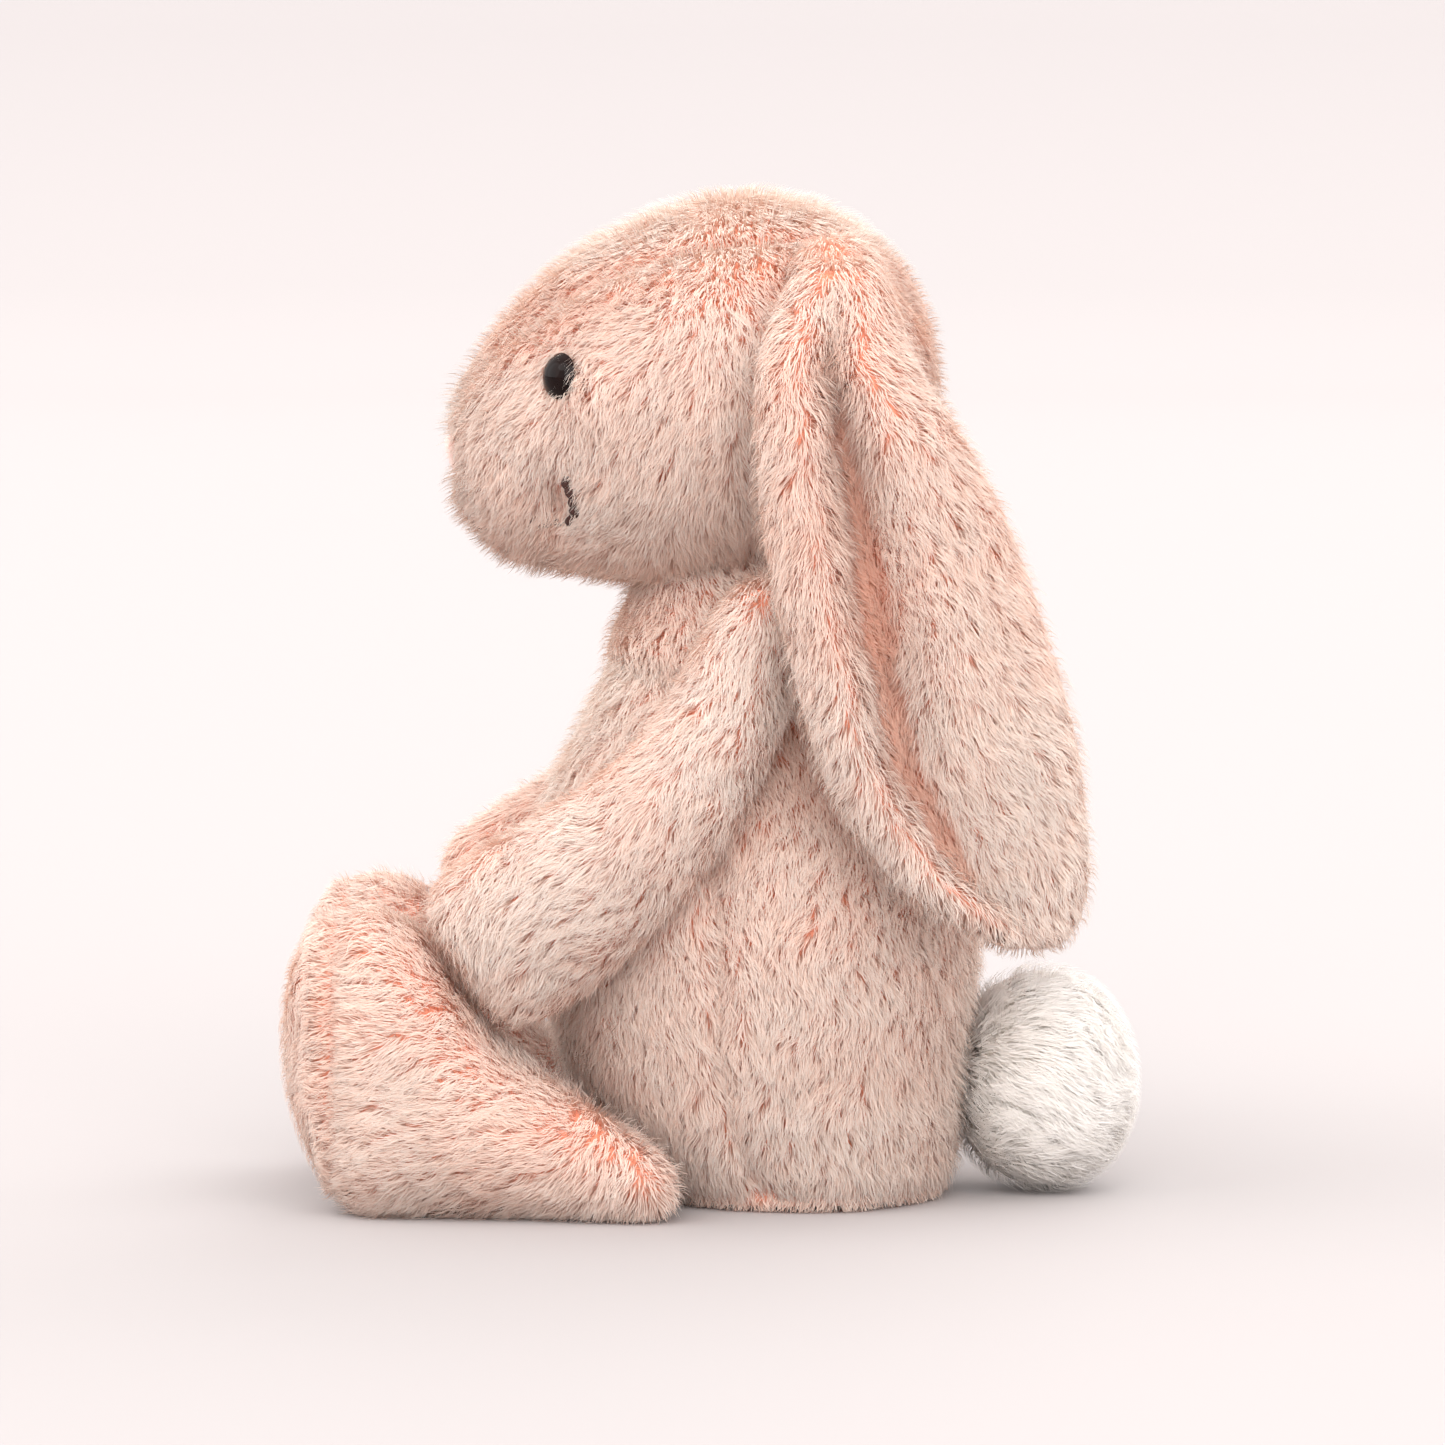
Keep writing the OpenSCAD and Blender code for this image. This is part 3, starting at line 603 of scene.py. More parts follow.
def grow(name, part, pile, channel):
    """Covers a skin with strands that follow a flow, gathered into tufts."""
    rng = np.random.default_rng(SEED + channel)
    p, n, seam = part.scatter(pile.density, rng)
    if pile.keep is not None:
        kept = pile.keep(p, n, seam)
        p, n, seam = p[kept], n[kept], seam[kept]
    count = len(p)
    centre, tone = clumps(p, pile.clump, 10 + channel * 20)
    wide_centre, wide_tone = clumps(p, pile.clump * 2.6, 15 + channel * 20)
    near_seam = np.exp(-(seam / SEAM_REACH) ** 2)

    wander = np.stack([noise(p, 8.0, 51 + k) for k in range(3)], axis=1)
    direction = onto_surface(pile.flow(p, n) + FLOW_WANDER * wander, n)
    angle = pile.swirl * (noise(p, 17.0, 31) + 0.8 * noise(p, 6.5, 32))
    angle += (tone - 0.5) * 0.8 + rng.normal(0.0, 0.15, count)
    direction = turned(direction, n, angle)

    stray = rng.random(count) < STRAY_SHARE
    size = pile.length * (0.82 + 0.15 * noise(p, 9.0, 33) + 0.32 * rng.random(count))
    size *= (0.9 + 0.22 * tone) * (1.0 - SEAM_TRIM * near_seam)
    rise = np.radians(pile.lean) * (0.85 + 0.4 * wide_tone + 0.3 * (rng.random(count) - 0.5))
    rise = np.where(stray, rise * STRAY_RISE, rise)
    if pile.length_of is not None:
        size *= pile.length_of(p, n, seam)
    if pile.lean_of is not None:
        rise *= pile.lean_of(p, n, seam)
    rise = np.minimum(rise, np.radians(80.0))
    along = size * np.cos(rise)
    cap = pile.cap * (pile.cap_of(p, n, seam) if pile.cap_of is not None else 1.0)
    cap = cap * np.where(stray, STRAY_RISE, 1.0)
    height = np.minimum(size * np.sin(rise), cap)
    pull = np.where(stray, 0.1, pile.pull)[:, None]

    def toward(spot):
        lean = spot - p
        return lean - n * np.sum(lean * n, axis=1, keepdims=True)

    root = p - n * ROOT_DEPTH
    middle = p + direction * (along * 0.4)[:, None] + n * (height * 0.74)[:, None]
    tip = p + direction * along[:, None] + n * height[:, None]
    middle = middle + toward(centre) * pull * 0.45
    tip = tip + toward(centre) * pull + toward(wide_centre) * pull * 0.22
    tip = tip + np.cross(n, direction) * rng.normal(0.0, 0.32, count)[:, None]
    middle = part.settled(middle, height * 0.85)
    tip = part.settled(tip, height)
    for row in (root, middle, tip):
        row[:, 2] = np.maximum(row[:, 2], FLOOR_CLEARANCE)

    spine = unit(tip - root)
    across = unit(np.cross(spine, n))
    twist = rng.uniform(-0.6, 0.6, count)[:, None]
    across = unit(across * np.cos(twist) + np.cross(spine, across) * np.sin(twist))
    light = unit(n - toward(centre) / pile.clump * 0.28 + direction * 0.12
                 + across * rng.normal(0.0, 0.10, count)[:, None])
    across[np.sum(np.cross(across, spine) * light, axis=1) < 0.0] *= -1.0

    shade = 0.5 + 0.22 * noise(p, 15.0, 34) + 0.2 * (tone - 0.5)
    shade += 0.14 * (wide_tone - 0.5) + rng.normal(0.0, 0.14, count) - 0.25 * near_seam
    # Painted top light: paler where the skin faces up
    shade += PAINTED_TOP_LIGHT * smoothstep(0.5, 0.95, n[:, 2])
    if pile.shade_of is not None:
        shade += pile.shade_of(p, n, seam)
    ribbon = pile.width * (0.75 + 0.5 * rng.random(count)) * np.where(stray, 0.7, 1.0)
    parts = max(1, math.ceil(count / STRANDS_PER_PIECE))
    for k in range(parts):
        s = slice(k, None, parts)
        label = name if parts == 1 else f"{name}_{k + 1}"
        mesh = ribbon_mesh(label, root[s], middle[s], tip[s], across[s], ribbon[s],
                           shade[s], light[s])
        obj = new_object(label, mesh, pile.material)
        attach(obj, part.body)


# ------------------------------------------------
# Flows: which way the pile lies, for points in millimetres
# ------------------------------------------------

def vectors(x, y, z):
    x, y, z = np.broadcast_arrays(x, y, z)
    return np.stack([x, y, z], axis=1).astype(float)


def outward_on_top(p, n):
    """A sideways lean that keeps the flow from dying out where a form points straight up."""
    return np.sign(p[:, 0]) * smoothstep(0.3, 0.95, n[:, 2]) * 0.5


def head_flow(p, n):
    """Back over the crown and the nape, and forward and down over the cheeks and the muzzle."""
    front = smoothstep(6.0, -40.0, p[:, 1])
    y = 0.55 - 1.25 * front
    below_nose = smoothstep(150.0, 138.0, p[:, 2]) * smoothstep(-52.0, -62.0, p[:, 1])
    top = smoothstep(0.5, 0.95, n[:, 2])
    aside = np.tanh(p[:, 0] / 6.0) * (0.12 + 0.4 * top) + 0.7 * top * noise(p, 9.0, 54)
    return vectors(aside, y, -1.0 + 0.5 * below_nose)


def torso_flow(p, n):
    return vectors(np.sign(p[:, 0]) * 0.05, -0.05 * np.sign(p[:, 1]), -1.0)


def arm_flow(p, n):
    toward_paw = smoothstep(108.0, 74.0, p[:, 2])
    paw_end = smoothstep(-50.0, -60.0, p[:, 1])
    return vectors(outward_on_top(p, n), -0.3 - 0.5 * toward_paw + 0.4 * paw_end,
                   -0.95 + 0.25 * toward_paw - 0.3 * paw_end)


def leg_flow(p, n):
    """Forward over the foot, downward under the thigh and backward at the hip."""
    turn = np.radians(8.0 + 96.0 * smoothstep(-64.0, -16.0, p[:, 1]))
    flow = vectors(0.0, -np.cos(turn), -np.sin(turn))
    sole = (smoothstep(-84.0, -93.0, p[:, 1]) * smoothstep(0.35, 0.8, -n[:, 1]))[:, None]
    return flow * (1.0 - sole) + vectors(0.0, 0.0, -np.ones(len(p))) * sole


TAIL_ROOT = np.array([0.0, 30.0, 24.0])


def tail_flow(p, n):
    return p - TAIL_ROOT + vectors(6.0 * noise(p, 12.0, 41), 0.0, -4.0)


EAR_ROWS = ((57.4, 46.4, 6.6), (69.0, 38.8, 18.8), (92.0, 30.0, 25.2), (108.0, 26.0, 25.4),
            (124.0, 21.4, 25.0), (154.0, 12.6, 19.6), (167.0, 8.4, 15.6), (185.6, 9.2, 8.0))
EAR_GROOVE = ((57.4, 0.0), (69.0, -0.4), (92.0, -0.46), (124.0, -0.36), (154.0, -0.2),
              (175.0, -0.05), (186.0, 0.0))


def ear_share(p):
    """Place across an ear, from -1 at its front edge to 1 at its rear edge."""
    z, middle, reach = np.array(EAR_ROWS).T
    return (p[:, 1] - np.interp(p[:, 2], z, middle)) / np.interp(p[:, 2], z, reach)


def from_groove(p):
    """Distance across the ear from its groove, as a share of the lobe it is on."""
    z, groove = np.array(EAR_GROOVE).T
    at = np.interp(p[:, 2], z, groove)
    share = ear_share(p)
    return np.where(share < at, (at - share) / (1.0 + at), (share - at) / (1.0 - at))


def ear_flow(p, n):
    z, groove = np.array(EAR_GROOVE).T
    side = np.sign(ear_share(p) - np.interp(p[:, 2], z, groove))
    apart = smoothstep(0.0, 0.6, from_groove(p)) * side
    return vectors(outward_on_top(p, n), 0.25 + 0.5 * apart, -1.0)


# ------------------------------------------------
# Body parts
# ------------------------------------------------

NOSE_CENTRE = np.array([0.0, -66.2, 148.2])
EYE_SEAT = np.array([29.5, -45.4, 164.8])
SMILE_DENT = np.array([28.5, -47.4, 138.0])
SMILE_CLEAR = 1.9
SMILE_BEND = 133.2
EYE_CLEAR = 5.0
EYE_CLEAR_SHIFT = (0.2, -1.7, 0.6)
NOSE_CLEAR = (6.4, 9.0, 3.9)
BASE_SEAM_Z = 5.0
GROOVE_DEPTH = 2.6
EAR_ROOT = (21.0, 9.0, 182.0)
EAR_ROOT_TILT = 0.12
EAR_ROOT_PROFILE = ((2.0, 0.0), (6.4, 1.2), (7.8, 4.0), (7.9, 8.0), (7.2, 11.5), (5.4, 14.0),
                    (1.6, 15.4))
NECK_Y = -9.5
NECK_PROFILE = ((9.0, 100.0), (22.0, 103.0), (24.4, 107.0), (24.2, 110.0), (23.0, 113.0),
                (21.6, 116.0), (20.2, 119.5), (19.2, 123.0), (18.6, 127.0), (17.0, 132.0),
                (9.0, 134.0))


def on_left(p):
    """Points mirrored to the left side of the toy."""
    return p * [0.0, 1.0, 1.0] + np.abs(p[:, :1]) * [1.0, 0.0, 0.0]


def head_dent(p, n):
    """Cheek dimples at the smile's ends, sockets round the eyes, and a cheek behind each eye."""
    q = on_left(p)
    dimple = np.exp(-np.sum(((q - SMILE_DENT) / [9.0, 5.2, 8.5]) ** 2, axis=1))
    socket = np.exp(-np.sum(((q - EYE_SEAT) / 7.5) ** 2, axis=1))
    behind = np.exp(-np.sum(((q - EYE_SEAT - [4.0, 8.0, -2.5]) / 6.5) ** 2, axis=1))
    muzzle = np.exp(-np.sum(((q - [17.0, -57.0, 143.0]) / 9.0) ** 2, axis=1))
    return -3.8 * dimple - 1.6 * socket + 2.2 * behind + 1.1 * muzzle


def in_groove(p, n):
    """1 along the bottom of an ear's groove, on its outer face."""
    low = smoothstep(178.0, 166.0, p[:, 2]) * smoothstep(56.0, 68.0, p[:, 2])
    outer = smoothstep(0.0, 0.4, n[:, 0] * np.sign(p[:, 0]))
    return np.exp(-(from_groove(p) / 0.16) ** 2) * low * outer


def ear_dent(p, n):
    return -GROOVE_DEPTH * in_groove(p, n)


def ear_painted_light_and_shade(p, n, seam):
    """Deeper in the groove, a painted shade, and paler towards the tip of the ear, a painted light.
    """
    return 0.4 * smoothstep(120.0, 80.0, p[:, 2]) - 0.7 * in_groove(p, n)


def base_dent(p, n):
    """A crease above the flat base, where the base panel's seam is drawn in."""
    return -1.4 * np.exp(-((p[:, 2] - BASE_SEAM_Z) / 1.6) ** 2) * (n[:, 2] > -0.7)


def off_the_floor(p, n, seam):
    """Leaves out the strands that would be crushed under the toy."""
    return ~((p[:, 2] < 1.6) & (n[:, 2] < -0.5))


def head_keep(p, n, seam):
    """Leaves out the strands over the eyes, the nose and the upper part of the smile."""
    q = on_left(p)
    eye_gap = np.linalg.norm(q - EYE_SEAT - EYE_CLEAR_SHIFT, axis=1)
    nose_gap = np.linalg.norm((p - NOSE_CENTRE) / NOSE_CLEAR, axis=1)
    smile = (smile_gap(p) < SMILE_CLEAR) & (p[:, 2] > SMILE_BEND)
    return (eye_gap > EYE_CLEAR) & (nose_gap > 1.0) & ~smile


def near(p, spot, reach):
    """1 at a spot on either side of the toy, falling to 0 beyond its reach along x, y and z."""
    return np.exp(-np.sum(((on_left(p) - spot) / reach) ** 2, axis=1))


def whiskers(p):
    """The fluffy tufts above and below the nose, and those that hang from the chin."""
    bridge = near(p, [0.0, -64.0, 157.5], [13.0, 7.0, 7.5])
    lip = near(p, [0.0, -64.0, 140.5], [10.0, 6.0, 5.5])
    chin = near(p, [0.0, -56.0, 130.0], [16.0, 9.0, 6.0])
    return np.maximum(np.maximum(bridge, lip), 0.7 * chin)


def head_length(p, n, seam):
    smile = np.exp(-(smile_gap(p) / 5.5) ** 2) * smoothstep(-50.0, -47.0, p[:, 1])
    return 1.0 + 0.35 * whiskers(p) - 0.5 * smile


def head_lean(p, n, seam):
    rough = np.exp(-((seam - 5.0) / 7.0) ** 2) * smoothstep(150.0, 172.0, p[:, 2])
    return 1.0 + 0.9 * whiskers(p) + 0.5 * rough


def head_cap(p, n, seam):
    return 1.0 + 0.7 * whiskers(p)


def head_shade(p, n, seam):
    """Paler on the muzzle, deeper in a band below the gusset's seams; a paler crown, which is
    painted top light, and deeper tone round the smile, which is painted shade in its dimples.
    """
    band = np.exp(-((seam - 6.0) / 6.0) ** 2) * smoothstep(160.0, 178.0, p[:, 2])
    band *= smoothstep(0.80, 0.6, n[:, 2])
    # Painted top light: paler where the crown faces up
    crown = smoothstep(0.72, 0.9, n[:, 2])
    muzzle = smoothstep(-48.0, -62.0, p[:, 1])
    # Painted shade: deeper round the smile, in the dimples at its ends
    smile = np.exp(-(smile_gap(p) / 4.0) ** 2)
    return 0.6 * crown + 0.1 * muzzle - 0.4 * band - 0.45 * smile


def neck_form():
    """The gathered neck: a form that narrows upwards and reaches into the head and the torso."""
    form = lathe("neck_skin", NECK_PROFILE, 40)
    form.data.transform(Matrix.Translation((0.0, NECK_Y * MM, 0.0)))
    return form


def ear_root_form(side, sign):
    """The gathered root of an ear, between the head and the top of the ear."""
    form = lathe(f"ear_root_skin_{side}", EAR_ROOT_PROFILE, 28)
    turn = Vector((sign, 0.0, EAR_ROOT_TILT)).to_track_quat("Z", "Y").to_matrix().to_4x4()
    turn.translation = Vector((EAR_ROOT[0] * sign, EAR_ROOT[1], EAR_ROOT[2])) * MM
    form.data.transform(turn)
    return form


def make_parts():
    """Makes every skin, simulates their stuffing together, and finishes them."""
    blush = dict(slot="blush_fur", backing=blush_backing)
    parts = {"head": Part("head_skin", "head",
                          ["head_side_left", "head_side_right", "head_gusset", "head_filling"],
                          ["head_side_left", "head_side_right", "head_gusset"],
                          fill=0.85, dent=head_dent, **blush)}
    panels = ["torso_front", "torso_back_left", "torso_back_right", "torso_base"]
    parts["torso"] = Part("torso_skin", "torso",
                          panels + ["torso_filling", "bean_pouch", "beans"], panels[:3],
                          fill=0.8, dent=base_dent, **blush)
    for side, _ in SIDES:
        arm = [f"arm_outer_{side}", f"arm_inner_{side}"]
        parts[f"arm_{side}"] = Part(f"arm_skin_{side}", f"arm_{side}",
                                    arm + [f"arm_filling_{side}"], arm, fill=0.7,
                                    voxel=3.0, groove=0.7, **blush)
        leg = [f"leg_outer_{side}", f"leg_inner_{side}", f"foot_sole_{side}"]
        parts[f"leg_{side}"] = Part(f"leg_skin_{side}", f"leg_{side}",
                                    leg + [f"leg_filling_{side}"], leg, fill=0.75,
                                    voxel=3.0, groove=0.9, **blush)
        ear = [f"ear_back_{side}", f"ear_lining_{side}"]
        parts[f"ear_{side}"] = Part(f"ear_skin_{side}", f"ear_{side}", ear, [], fill=0.15,
                                    voxel=2.2, smooth=2, stuffed=False, dent=ear_dent,
                                    **blush)
    for side, sign in SIDES:
        parts[f"ear_root_{side}"] = Part(f"ear_root_skin_{side}", f"ear_root_{side}",
                                         [f"ear_stitching_{side}"], [], fill=0.4,
                                         stuffed=False, skin=ear_root_form(side, sign),
                                         **blush)
    parts["neck"] = Part("neck_skin", "neck", ["neck_stitching"], [], fill=0.5,
                         stuffed=False, skin=neck_form(), **blush)
    parts["tail"] = Part("tail_skin", "tail", ["tail_cover", "tail_filling"], [],
                         slot="white_fur", backing=white_backing, fill=0.7, voxel=3.0)
    for step in range(1, STUFFING_FRAMES + 1):
        bpy.context.scene.frame_set(step)
    for part in parts.values():
        part.take_stuffing()
    for part in parts.values():
        part.finish()
    return parts


def grow_everything(parts):
    blush = dict(material=blush_fur, slot="blush_fur")
    grow("head_fur", parts["head"],
         Pile(head_flow, keep=head_keep, length_of=head_length, lean_of=head_lean,
              cap_of=head_cap, shade_of=head_shade, **blush), 1)
    grow("torso_fur", parts["torso"],
         Pile(torso_flow, keep=torso_keep, length_of=torso_length, shade_of=torso_shade,
              **blush), 2)
    for index, (side, _) in enumerate(SIDES):
        grow(f"arm_fur_{side}", parts[f"arm_{side}"],
             Pile(arm_flow, shade_of=arm_painted_light, **blush), 3 + index)
        grow(f"leg_fur_{side}", parts[f"leg_{side}"],
             Pile(leg_flow, keep=off_the_floor, lean_of=rim_lean, cap_of=sole_cap, **blush),
             5 + index)
        grow(f"ear_fur_{side}", parts[f"ear_{side}"],
             Pile(ear_flow, keep=not_lining, shade_of=ear_painted_light_and_shade, **blush), 7 + index)
        grow(f"ear_lining_fur_{side}", parts[f"ear_{side}"],
             Pile(ear_flow, lining_fur, "ear_lining_fur", length=4.0, lean=28.0,
                  density=6.5, shade_of=ear_painted_light_and_shade, keep=is_lining), 9 + index)
        grow(f"ear_root_fur_{side}", parts[f"ear_root_{side}"],
             Pile(ear_flow, length=5.0, **blush), 13 + index)
    grow("neck_fur", parts["neck"], Pile(torso_flow, **blush), 12)
    grow("tail_fur", parts["tail"],
         Pile(tail_flow, white_fur, "white_fur", density=6.5, length=10.0, lean=26.0,
              width=0.24, clump=3.0, swirl=0.8, pull=0.35, cap=3.6), 11)


def torso_keep(p, n, seam):
    """Leaves the seam of the base bare."""
    return off_the_floor(p, n, seam) & ~(np.abs(p[:, 2] - BASE_SEAM_Z) < 0.9)


def torso_length(p, n, seam):
    return 1.0 - 0.4 * smoothstep(BASE_SEAM_Z + 0.3, BASE_SEAM_Z - 0.3, p[:, 2])


def torso_shade(p, n, seam):
    """Deeper under the base's seam and paler down the chest; deeper under the arms, a painted
    shadow, and paler low on the body, a painted light.
    """
    below_seam = smoothstep(BASE_SEAM_Z + 0.5, BASE_SEAM_Z - 0.5, p[:, 2])
    # Painted shadow: deeper on the torso under the arms
    painted_shadow_under_arm = smoothstep(66.0, 96.0, p[:, 2]) * smoothstep(-24.0, -12.0, p[:, 1])
    chest = smoothstep(-22.0, -32.0, p[:, 1]) * smoothstep(60.0, 90.0, p[:, 2])
    # Painted light: paler low on the body
    low = smoothstep(60.0, 30.0, p[:, 2])
    return 0.4 * chest + 0.2 * low - 0.35 * below_seam - 0.5 * painted_shadow_under_arm


def arm_painted_light(p, n, seam):
    """Painted light: paler down the outer face of the arm."""
    return 0.3 * smoothstep(0.2, 0.8, n[:, 0] * np.sign(p[:, 0]))


def rim_lean(p, n, seam):
    """Strands stand up round the rim of the sole."""
    return 1.0 + 0.4 * np.exp(-((p[:, 1] + 92.0) / 4.0) ** 2)


def sole_cap(p, n, seam):
    """The pile of the sole is brushed flatter."""
    return 1.0 - 0.45 * smoothstep(0.3, 0.8, -n[:, 1]) * smoothstep(-84.0, -92.0, p[:, 1])


def is_lining(p, n, seam):
    """The strip of shorter pile along the groove of an ear."""
    outer = n[:, 0] * np.sign(p[:, 0]) > 0.1
    low = smoothstep(170.0, 160.0, p[:, 2]) * smoothstep(62.0, 72.0, p[:, 2])
    return outer & (from_groove(p) < 0.22 * low)


def not_lining(p, n, seam):
    return ~is_lining(p, n, seam)


# ------------------------------------------------
# Eyes, nose and smile
# ------------------------------------------------

SMILE = np.array([(-65.2, 141.6), (-63.2, 135.8), (-60.0, 132.8), (-56.4, 131.2), (-53.2, 130.6),
                  (-50.2, 130.9), (-47.6, 132.2), (-45.8, 134.6), (-45.0, 139.0), (-45.0, 144.6)])
SMILE_SPREAD = np.array([0.0, 0.14, 0.34, 0.54, 0.72, 0.86, 0.95, 1.0, 1.0, 1.0])
SMILE_REACH = 30.0


def smile_line():
    """Points along the left half of the smile, near the surface of the head."""
    return np.column_stack([SMILE_SPREAD * SMILE_REACH, SMILE])


def smile_gap(p):
    """Distance from the smile's line, on either side."""
    q = on_left(p)
    line = smile_line()
    best = np.full(len(p), 99.0)
    for a, b in zip(line[:-1], line[1:]):
        t = np.clip(((q - a) @ (b - a)) / np.dot(b - a, b - a), 0.0, 1.0)
        off = q - a - t[:, None] * (b - a)
        best = np.minimum(best, np.hypot(off[:, 1], off[:, 2]) + 0.25 * np.abs(off[:, 0]))
    return best


def gloss_material():
    n = Nodes("eye_gloss")
    n.link(n.ramp(n.noise(400.0), [(0.3, linear(0.05, 0.02, 0.016)),
                                   (0.8, linear(0.10, 0.045, 0.035))]),
           n.shader.inputs["Base Color"])
    n.set(Roughness=0.06, Specular_IOR_Level=0.12)
    return n.material


def nose_material():
    n = Nodes("nose_fabric")
    grain = n.noise(1500.0)
    n.link(n.ramp(grain, [(0.3, linear(0.91, 0.70, 0.67)), (0.7, linear(0.97, 0.82, 0.79))]),
           n.shader.inputs["Base Color"])
    n.bump(grain, 0.4, 0.0004)
    n.set(Roughness=0.7, Sheen_Weight=0.4, Sheen_Roughness=0.4, Specular_IOR_Level=0.3)
    return n.material


def thread_material(name, dark, light):
    n = Nodes(name)
    grain = n.noise(2500.0)
    n.link(n.ramp(grain, [(0.35, dark), (0.7, light)]), n.shader.inputs["Base Color"])
    n.bump(grain, 0.5, 0.0002)
    n.set(Roughness=0.6, Specular_IOR_Level=0.3)
    return n.material


def use_material(node, material):
    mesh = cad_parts[node].data
    mesh.materials.clear()
    mesh.materials.append(material)


def lathe(name, profile, count, material=None):
    """A solid of revolution about +Z, from (radius, height) pairs in millimetres."""
    points, faces = [], []
    for r, z in profile:
        for k in range(count):
            a = 2.0 * math.pi * k / count
            points.append((r * math.cos(a) * MM, r * math.sin(a) * MM, z * MM))
    for row in range(len(profile) - 1):
        for k in range(count):
            k1 = (k + 1) % count
            a, b = row * count, (row + 1) * count
            faces.append((a + k, a + k1, b + k1, b + k))
    faces.append(tuple(range(count))[::-1])
    faces.append(tuple((len(profile) - 1) * count + k for k in range(count)))
    mesh = mesh_from(name, points, faces)
    shade_smooth(mesh)
    return new_object(name, mesh, material)


EYE_YAW = -50.0
EYE_PITCH = 8.0
EYE_RADIUS = 4.6
EYE_DOME = 2.6
SHANK_RADIUS = 1.8
SHANK_LENGTH = 11.0


def make_eyes(gloss):
    """Domed eyes with a rounded rim, on the shanks that hold them."""
    sphere = (EYE_RADIUS ** 2 + EYE_DOME ** 2) / (2.0 * EYE_DOME)
    reach = math.asin(EYE_RADIUS / sphere)
    rim = [(EYE_RADIUS - 0.45, -0.5), (EYE_RADIUS - 0.1, -0.35)]
    dome = [(sphere * math.sin(a), EYE_DOME - sphere + sphere * math.cos(a))
            for a in (reach * (1.0 - k / 22.0) for k in range(22))]
    shank = [(SHANK_RADIUS - 0.2, -SHANK_LENGTH), (SHANK_RADIUS, -SHANK_LENGTH + 0.3),
             (SHANK_RADIUS, -1.0), (SHANK_RADIUS + 0.8, -0.55)]
    for side, sign in SIDES:
        eye = lathe(f"eye_dome_{side}", shank + rim + dome + [(0.02, EYE_DOME)], 72, gloss)
        axis = Vector((math.cos(math.radians(EYE_YAW)) * sign, math.sin(math.radians(EYE_YAW)),
                       0.0)) * math.cos(math.radians(EYE_PITCH))
        axis.z = math.sin(math.radians(EYE_PITCH))
        turn = axis.to_track_quat("Z", "Y").to_matrix().to_4x4()
        turn.translation = Vector((EYE_SEAT[0] * sign, EYE_SEAT[1], EYE_SEAT[2])) * MM
        eye.data.transform(turn)
        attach(eye, "head")
        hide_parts(f"eye_{side}")


def stitch_mesh(name, ends, thickness):
    """Short tapered stitches of thread, each between two points."""
    around, along = 8, 6
    points, faces = [], []
    for a, b, up in ends:
        spine = (b - a) / np.linalg.norm(b - a)
        side = np.cross(spine, up)
        side /= np.linalg.norm(side)
        lift = np.cross(side, spine)
        base = len(points)
        for i in range(along + 1):
            t = i / along
            bow = math.sin(math.pi * t)
            r = thickness / 2.0 * (0.45 + 0.55 * bow ** 0.5)
            centre = a + (b - a) * t + lift * (0.5 * bow - 0.2)
            for k in range(around):
                w = 2.0 * math.pi * k / around
                points.append((centre + (side * math.cos(w) + lift * math.sin(w)) * r) * MM)
        for i in range(along):
            for k in range(around):
                k1 = (k + 1) % around
                r0, r1 = base + i * around, base + (i + 1) * around
                faces.append((r0 + k, r1 + k, r1 + k1, r0 + k1))
        faces.append(tuple(base + k for k in range(around)))
        faces.append(tuple(base + along * around + k for k in range(around))[::-1])
    mesh = mesh_from(name, points, faces)
    shade_smooth(mesh)
    return mesh


def make_smile(head, material):
    """The smile is a row of overlapping back stitches laid on the skin."""
    line = smile_line()
    step = np.concatenate([[0.0], np.cumsum(np.linalg.norm(np.diff(line, axis=0), axis=1))])
    places = np.arange(0.0, step[-1] - 1.0, STITCH_PITCH)
    ends = []
    for sign in (1.0, -1.0):
        for k, s in enumerate(places):
            spots = []
            for at in (s, s + STITCH_PITCH * STITCH_OVERLAP):
                p = np.array([np.interp(at, step, line[:, c]) for c in range(3)])
                p[0] *= sign
                spot, normal, _, _ = head.tree.find_nearest(p)
                lift = 0.15 * (k % 2) + (STITCH_LIFT if p[2] > SMILE_BEND else STITCH_SUNK)
                spots.append((np.array(spot + normal * lift), np.array(normal)))
            (a, up), (b, _) = spots
            drift = np.cross(b - a, up) * (STITCH_DRIFT if k % 2 else -STITCH_DRIFT)
            ends.append((a + drift, b - drift, up))
    obj = new_object("smile_stitches", stitch_mesh("smile_stitches", ends, STITCH_THICK),
                     material)
    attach(obj, "head")
    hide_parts("mouth_stitch")


def make_face(parts):
    make_eyes(gloss_material())
    use_material("nose", nose_material())
    make_smile(parts["head"], thread_material("brown_thread", linear(0.16, 0.08, 0.07),
                                              linear(0.30, 0.17, 0.14)))
    seam = thread_material("seam_thread", linear(0.72, 0.50, 0.42), linear(0.86, 0.66, 0.58))
    inner = backing_material("inner_cloth", linear(0.85, 0.84, 0.80), linear(0.95, 0.95, 0.93))
    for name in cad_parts:
        if "stitching" in name:
            use_material(name, seam)
        elif "washer" in name:
            use_material(name, inner)


# ------------------------------------------------
# Stage, lights and camera
# ------------------------------------------------

VIEW_AZIMUTH = 90.0
VIEW_ELEVATION = 5.2
VIEW_WIDTH = 289.0
VIEW_DISTANCE = 1500.0
VIEW_AIM = (0.0, -13.5, 94.2)

FLOOR_RADIUS = 3400.0
FLOOR_FACETS = 96
BOWL_BEND = 1200.0
BOWL_TURN = 42.0
BOWL_STEPS = 16


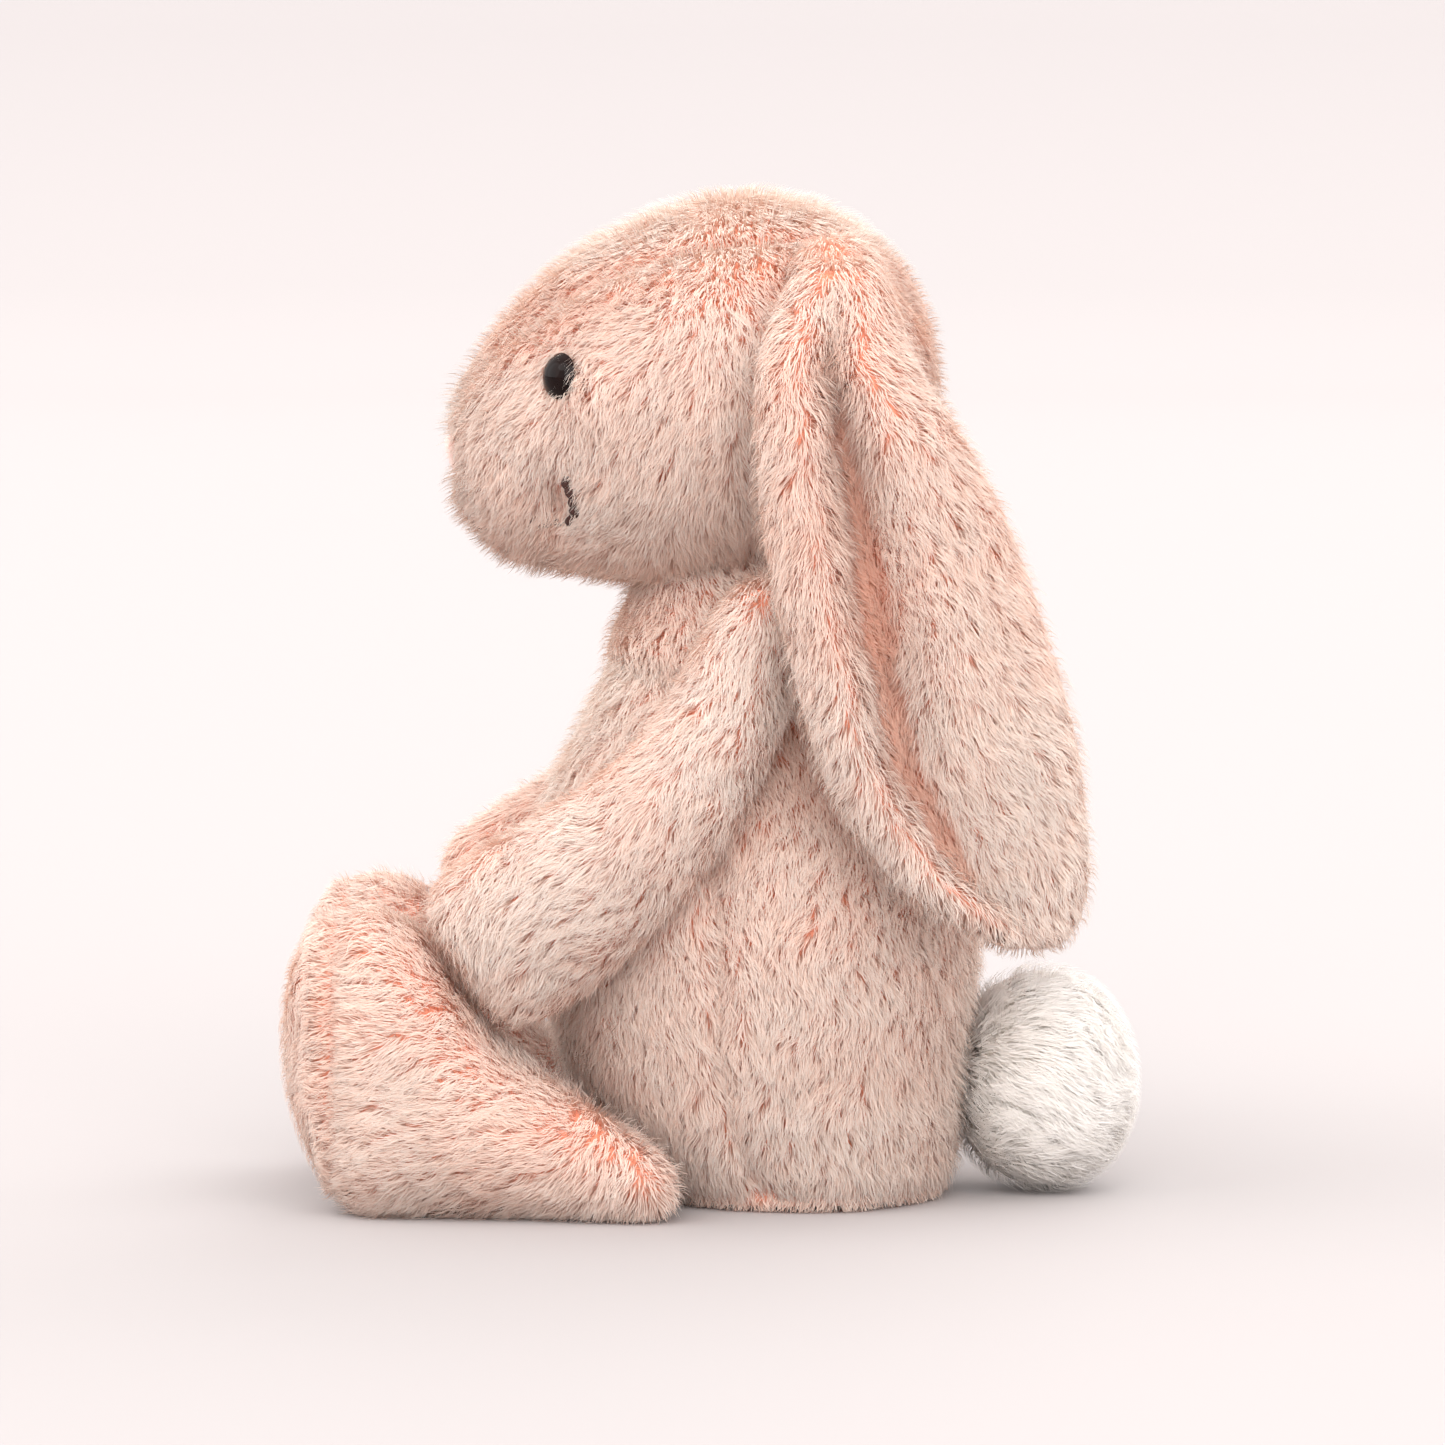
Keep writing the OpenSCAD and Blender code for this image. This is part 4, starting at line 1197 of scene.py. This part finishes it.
def make_stage():
    """A round floor whose rim sweeps up, so that every view has a plain pale backdrop."""
    bends = [math.radians(BOWL_TURN * k / BOWL_STEPS) for k in range(BOWL_STEPS + 1)]
    profile = [(1.0, 0.0)] + [(FLOOR_RADIUS + BOWL_BEND * math.sin(a),
                               BOWL_BEND * (1.0 - math.cos(a))) for a in bends]
    turns = [2.0 * math.pi * k / FLOOR_FACETS for k in range(FLOOR_FACETS)]
    points = [(r * math.cos(t) * MM, r * math.sin(t) * MM, z * MM)
              for r, z in profile for t in turns]
    faces = [tuple(range(FLOOR_FACETS))]
    for row in range(len(profile) - 1):
        a, b = row * FLOOR_FACETS, (row + 1) * FLOOR_FACETS
        for k in range(FLOOR_FACETS):
            k1 = (k + 1) % FLOOR_FACETS
            faces.append((a + k, b + k, b + k1, a + k1))
    floor = new_object("stage_floor", mesh_from("stage_floor", points, faces))
    n = Nodes("stage_floor")
    place_of = n.add("ShaderNodeTexCoord")
    split = n.add("ShaderNodeSeparateXYZ")
    n.link(place_of.outputs["Object"], split.inputs[0])
    rise_share = n.add("ShaderNodeMath", operation="DIVIDE")
    n.link(split.outputs["Z"], rise_share.inputs[0])
    rise_share.inputs[1].default_value = BACKDROP_RISE * MM
    middle = tuple((a + b) / 2.0 for a, b in zip(FLOOR_COLOUR, BACKDROP_COLOUR))
    stops = [(0.0, linear(*FLOOR_COLOUR)), (BACKDROP_HALFWAY, linear(*middle)),
             (1.0, linear(*BACKDROP_COLOUR))]
    n.link(n.ramp(rise_share.outputs[0], stops), n.shader.inputs["Base Color"])
    n.set(Roughness=0.95, Specular_IOR_Level=0.1)
    floor.data.materials.append(n.material)
    shade_smooth(floor.data)


def sun(name, toward, strength, spread):
    """A soft distant light from a direction. spread is its width in degrees."""
    light = bpy.data.lights.new(name, "SUN")
    light.energy = strength
    light.angle = math.radians(spread)
    obj = bpy.data.objects.new(name, light)
    bpy.context.scene.collection.objects.link(obj)
    obj.rotation_euler = Vector(toward).to_track_quat("Z", "Y").to_euler()


def make_lights():
    world = bpy.data.worlds.new("studio")
    bpy.context.scene.world = world
    world.use_nodes = True
    background = world.node_tree.nodes["Background"]
    background.inputs["Color"].default_value = linear(*WORLD_COLOUR)
    background.inputs["Strength"].default_value = WORLD_STRENGTH
    for name, toward, strength, spread in SUNS:
        sun(name, toward, strength, spread)


def make_camera():
    data = bpy.data.cameras.new("camera")
    camera = bpy.data.objects.new("camera", data)
    bpy.context.scene.collection.objects.link(camera)
    azimuth = math.radians(VIEW_AZIMUTH)
    elevation = math.radians(VIEW_ELEVATION)
    back = Vector((math.sin(azimuth) * math.cos(elevation),
                   -math.cos(azimuth) * math.cos(elevation), math.sin(elevation)))
    camera.location = (Vector(VIEW_AIM) + back * VIEW_DISTANCE) * MM
    camera.rotation_euler = back.to_track_quat("Z", "Y").to_euler()
    data.sensor_width = 36.0
    data.lens = 36.0 * VIEW_DISTANCE / VIEW_WIDTH
    data.clip_start = 0.05
    data.clip_end = 20.0
    bpy.context.scene.camera = camera
    bpy.context.scene.view_settings.view_transform = "Standard"


make_camera()
make_stage()
make_lights()
body_parts = make_parts()
grow_everything(body_parts)
make_face(body_parts)
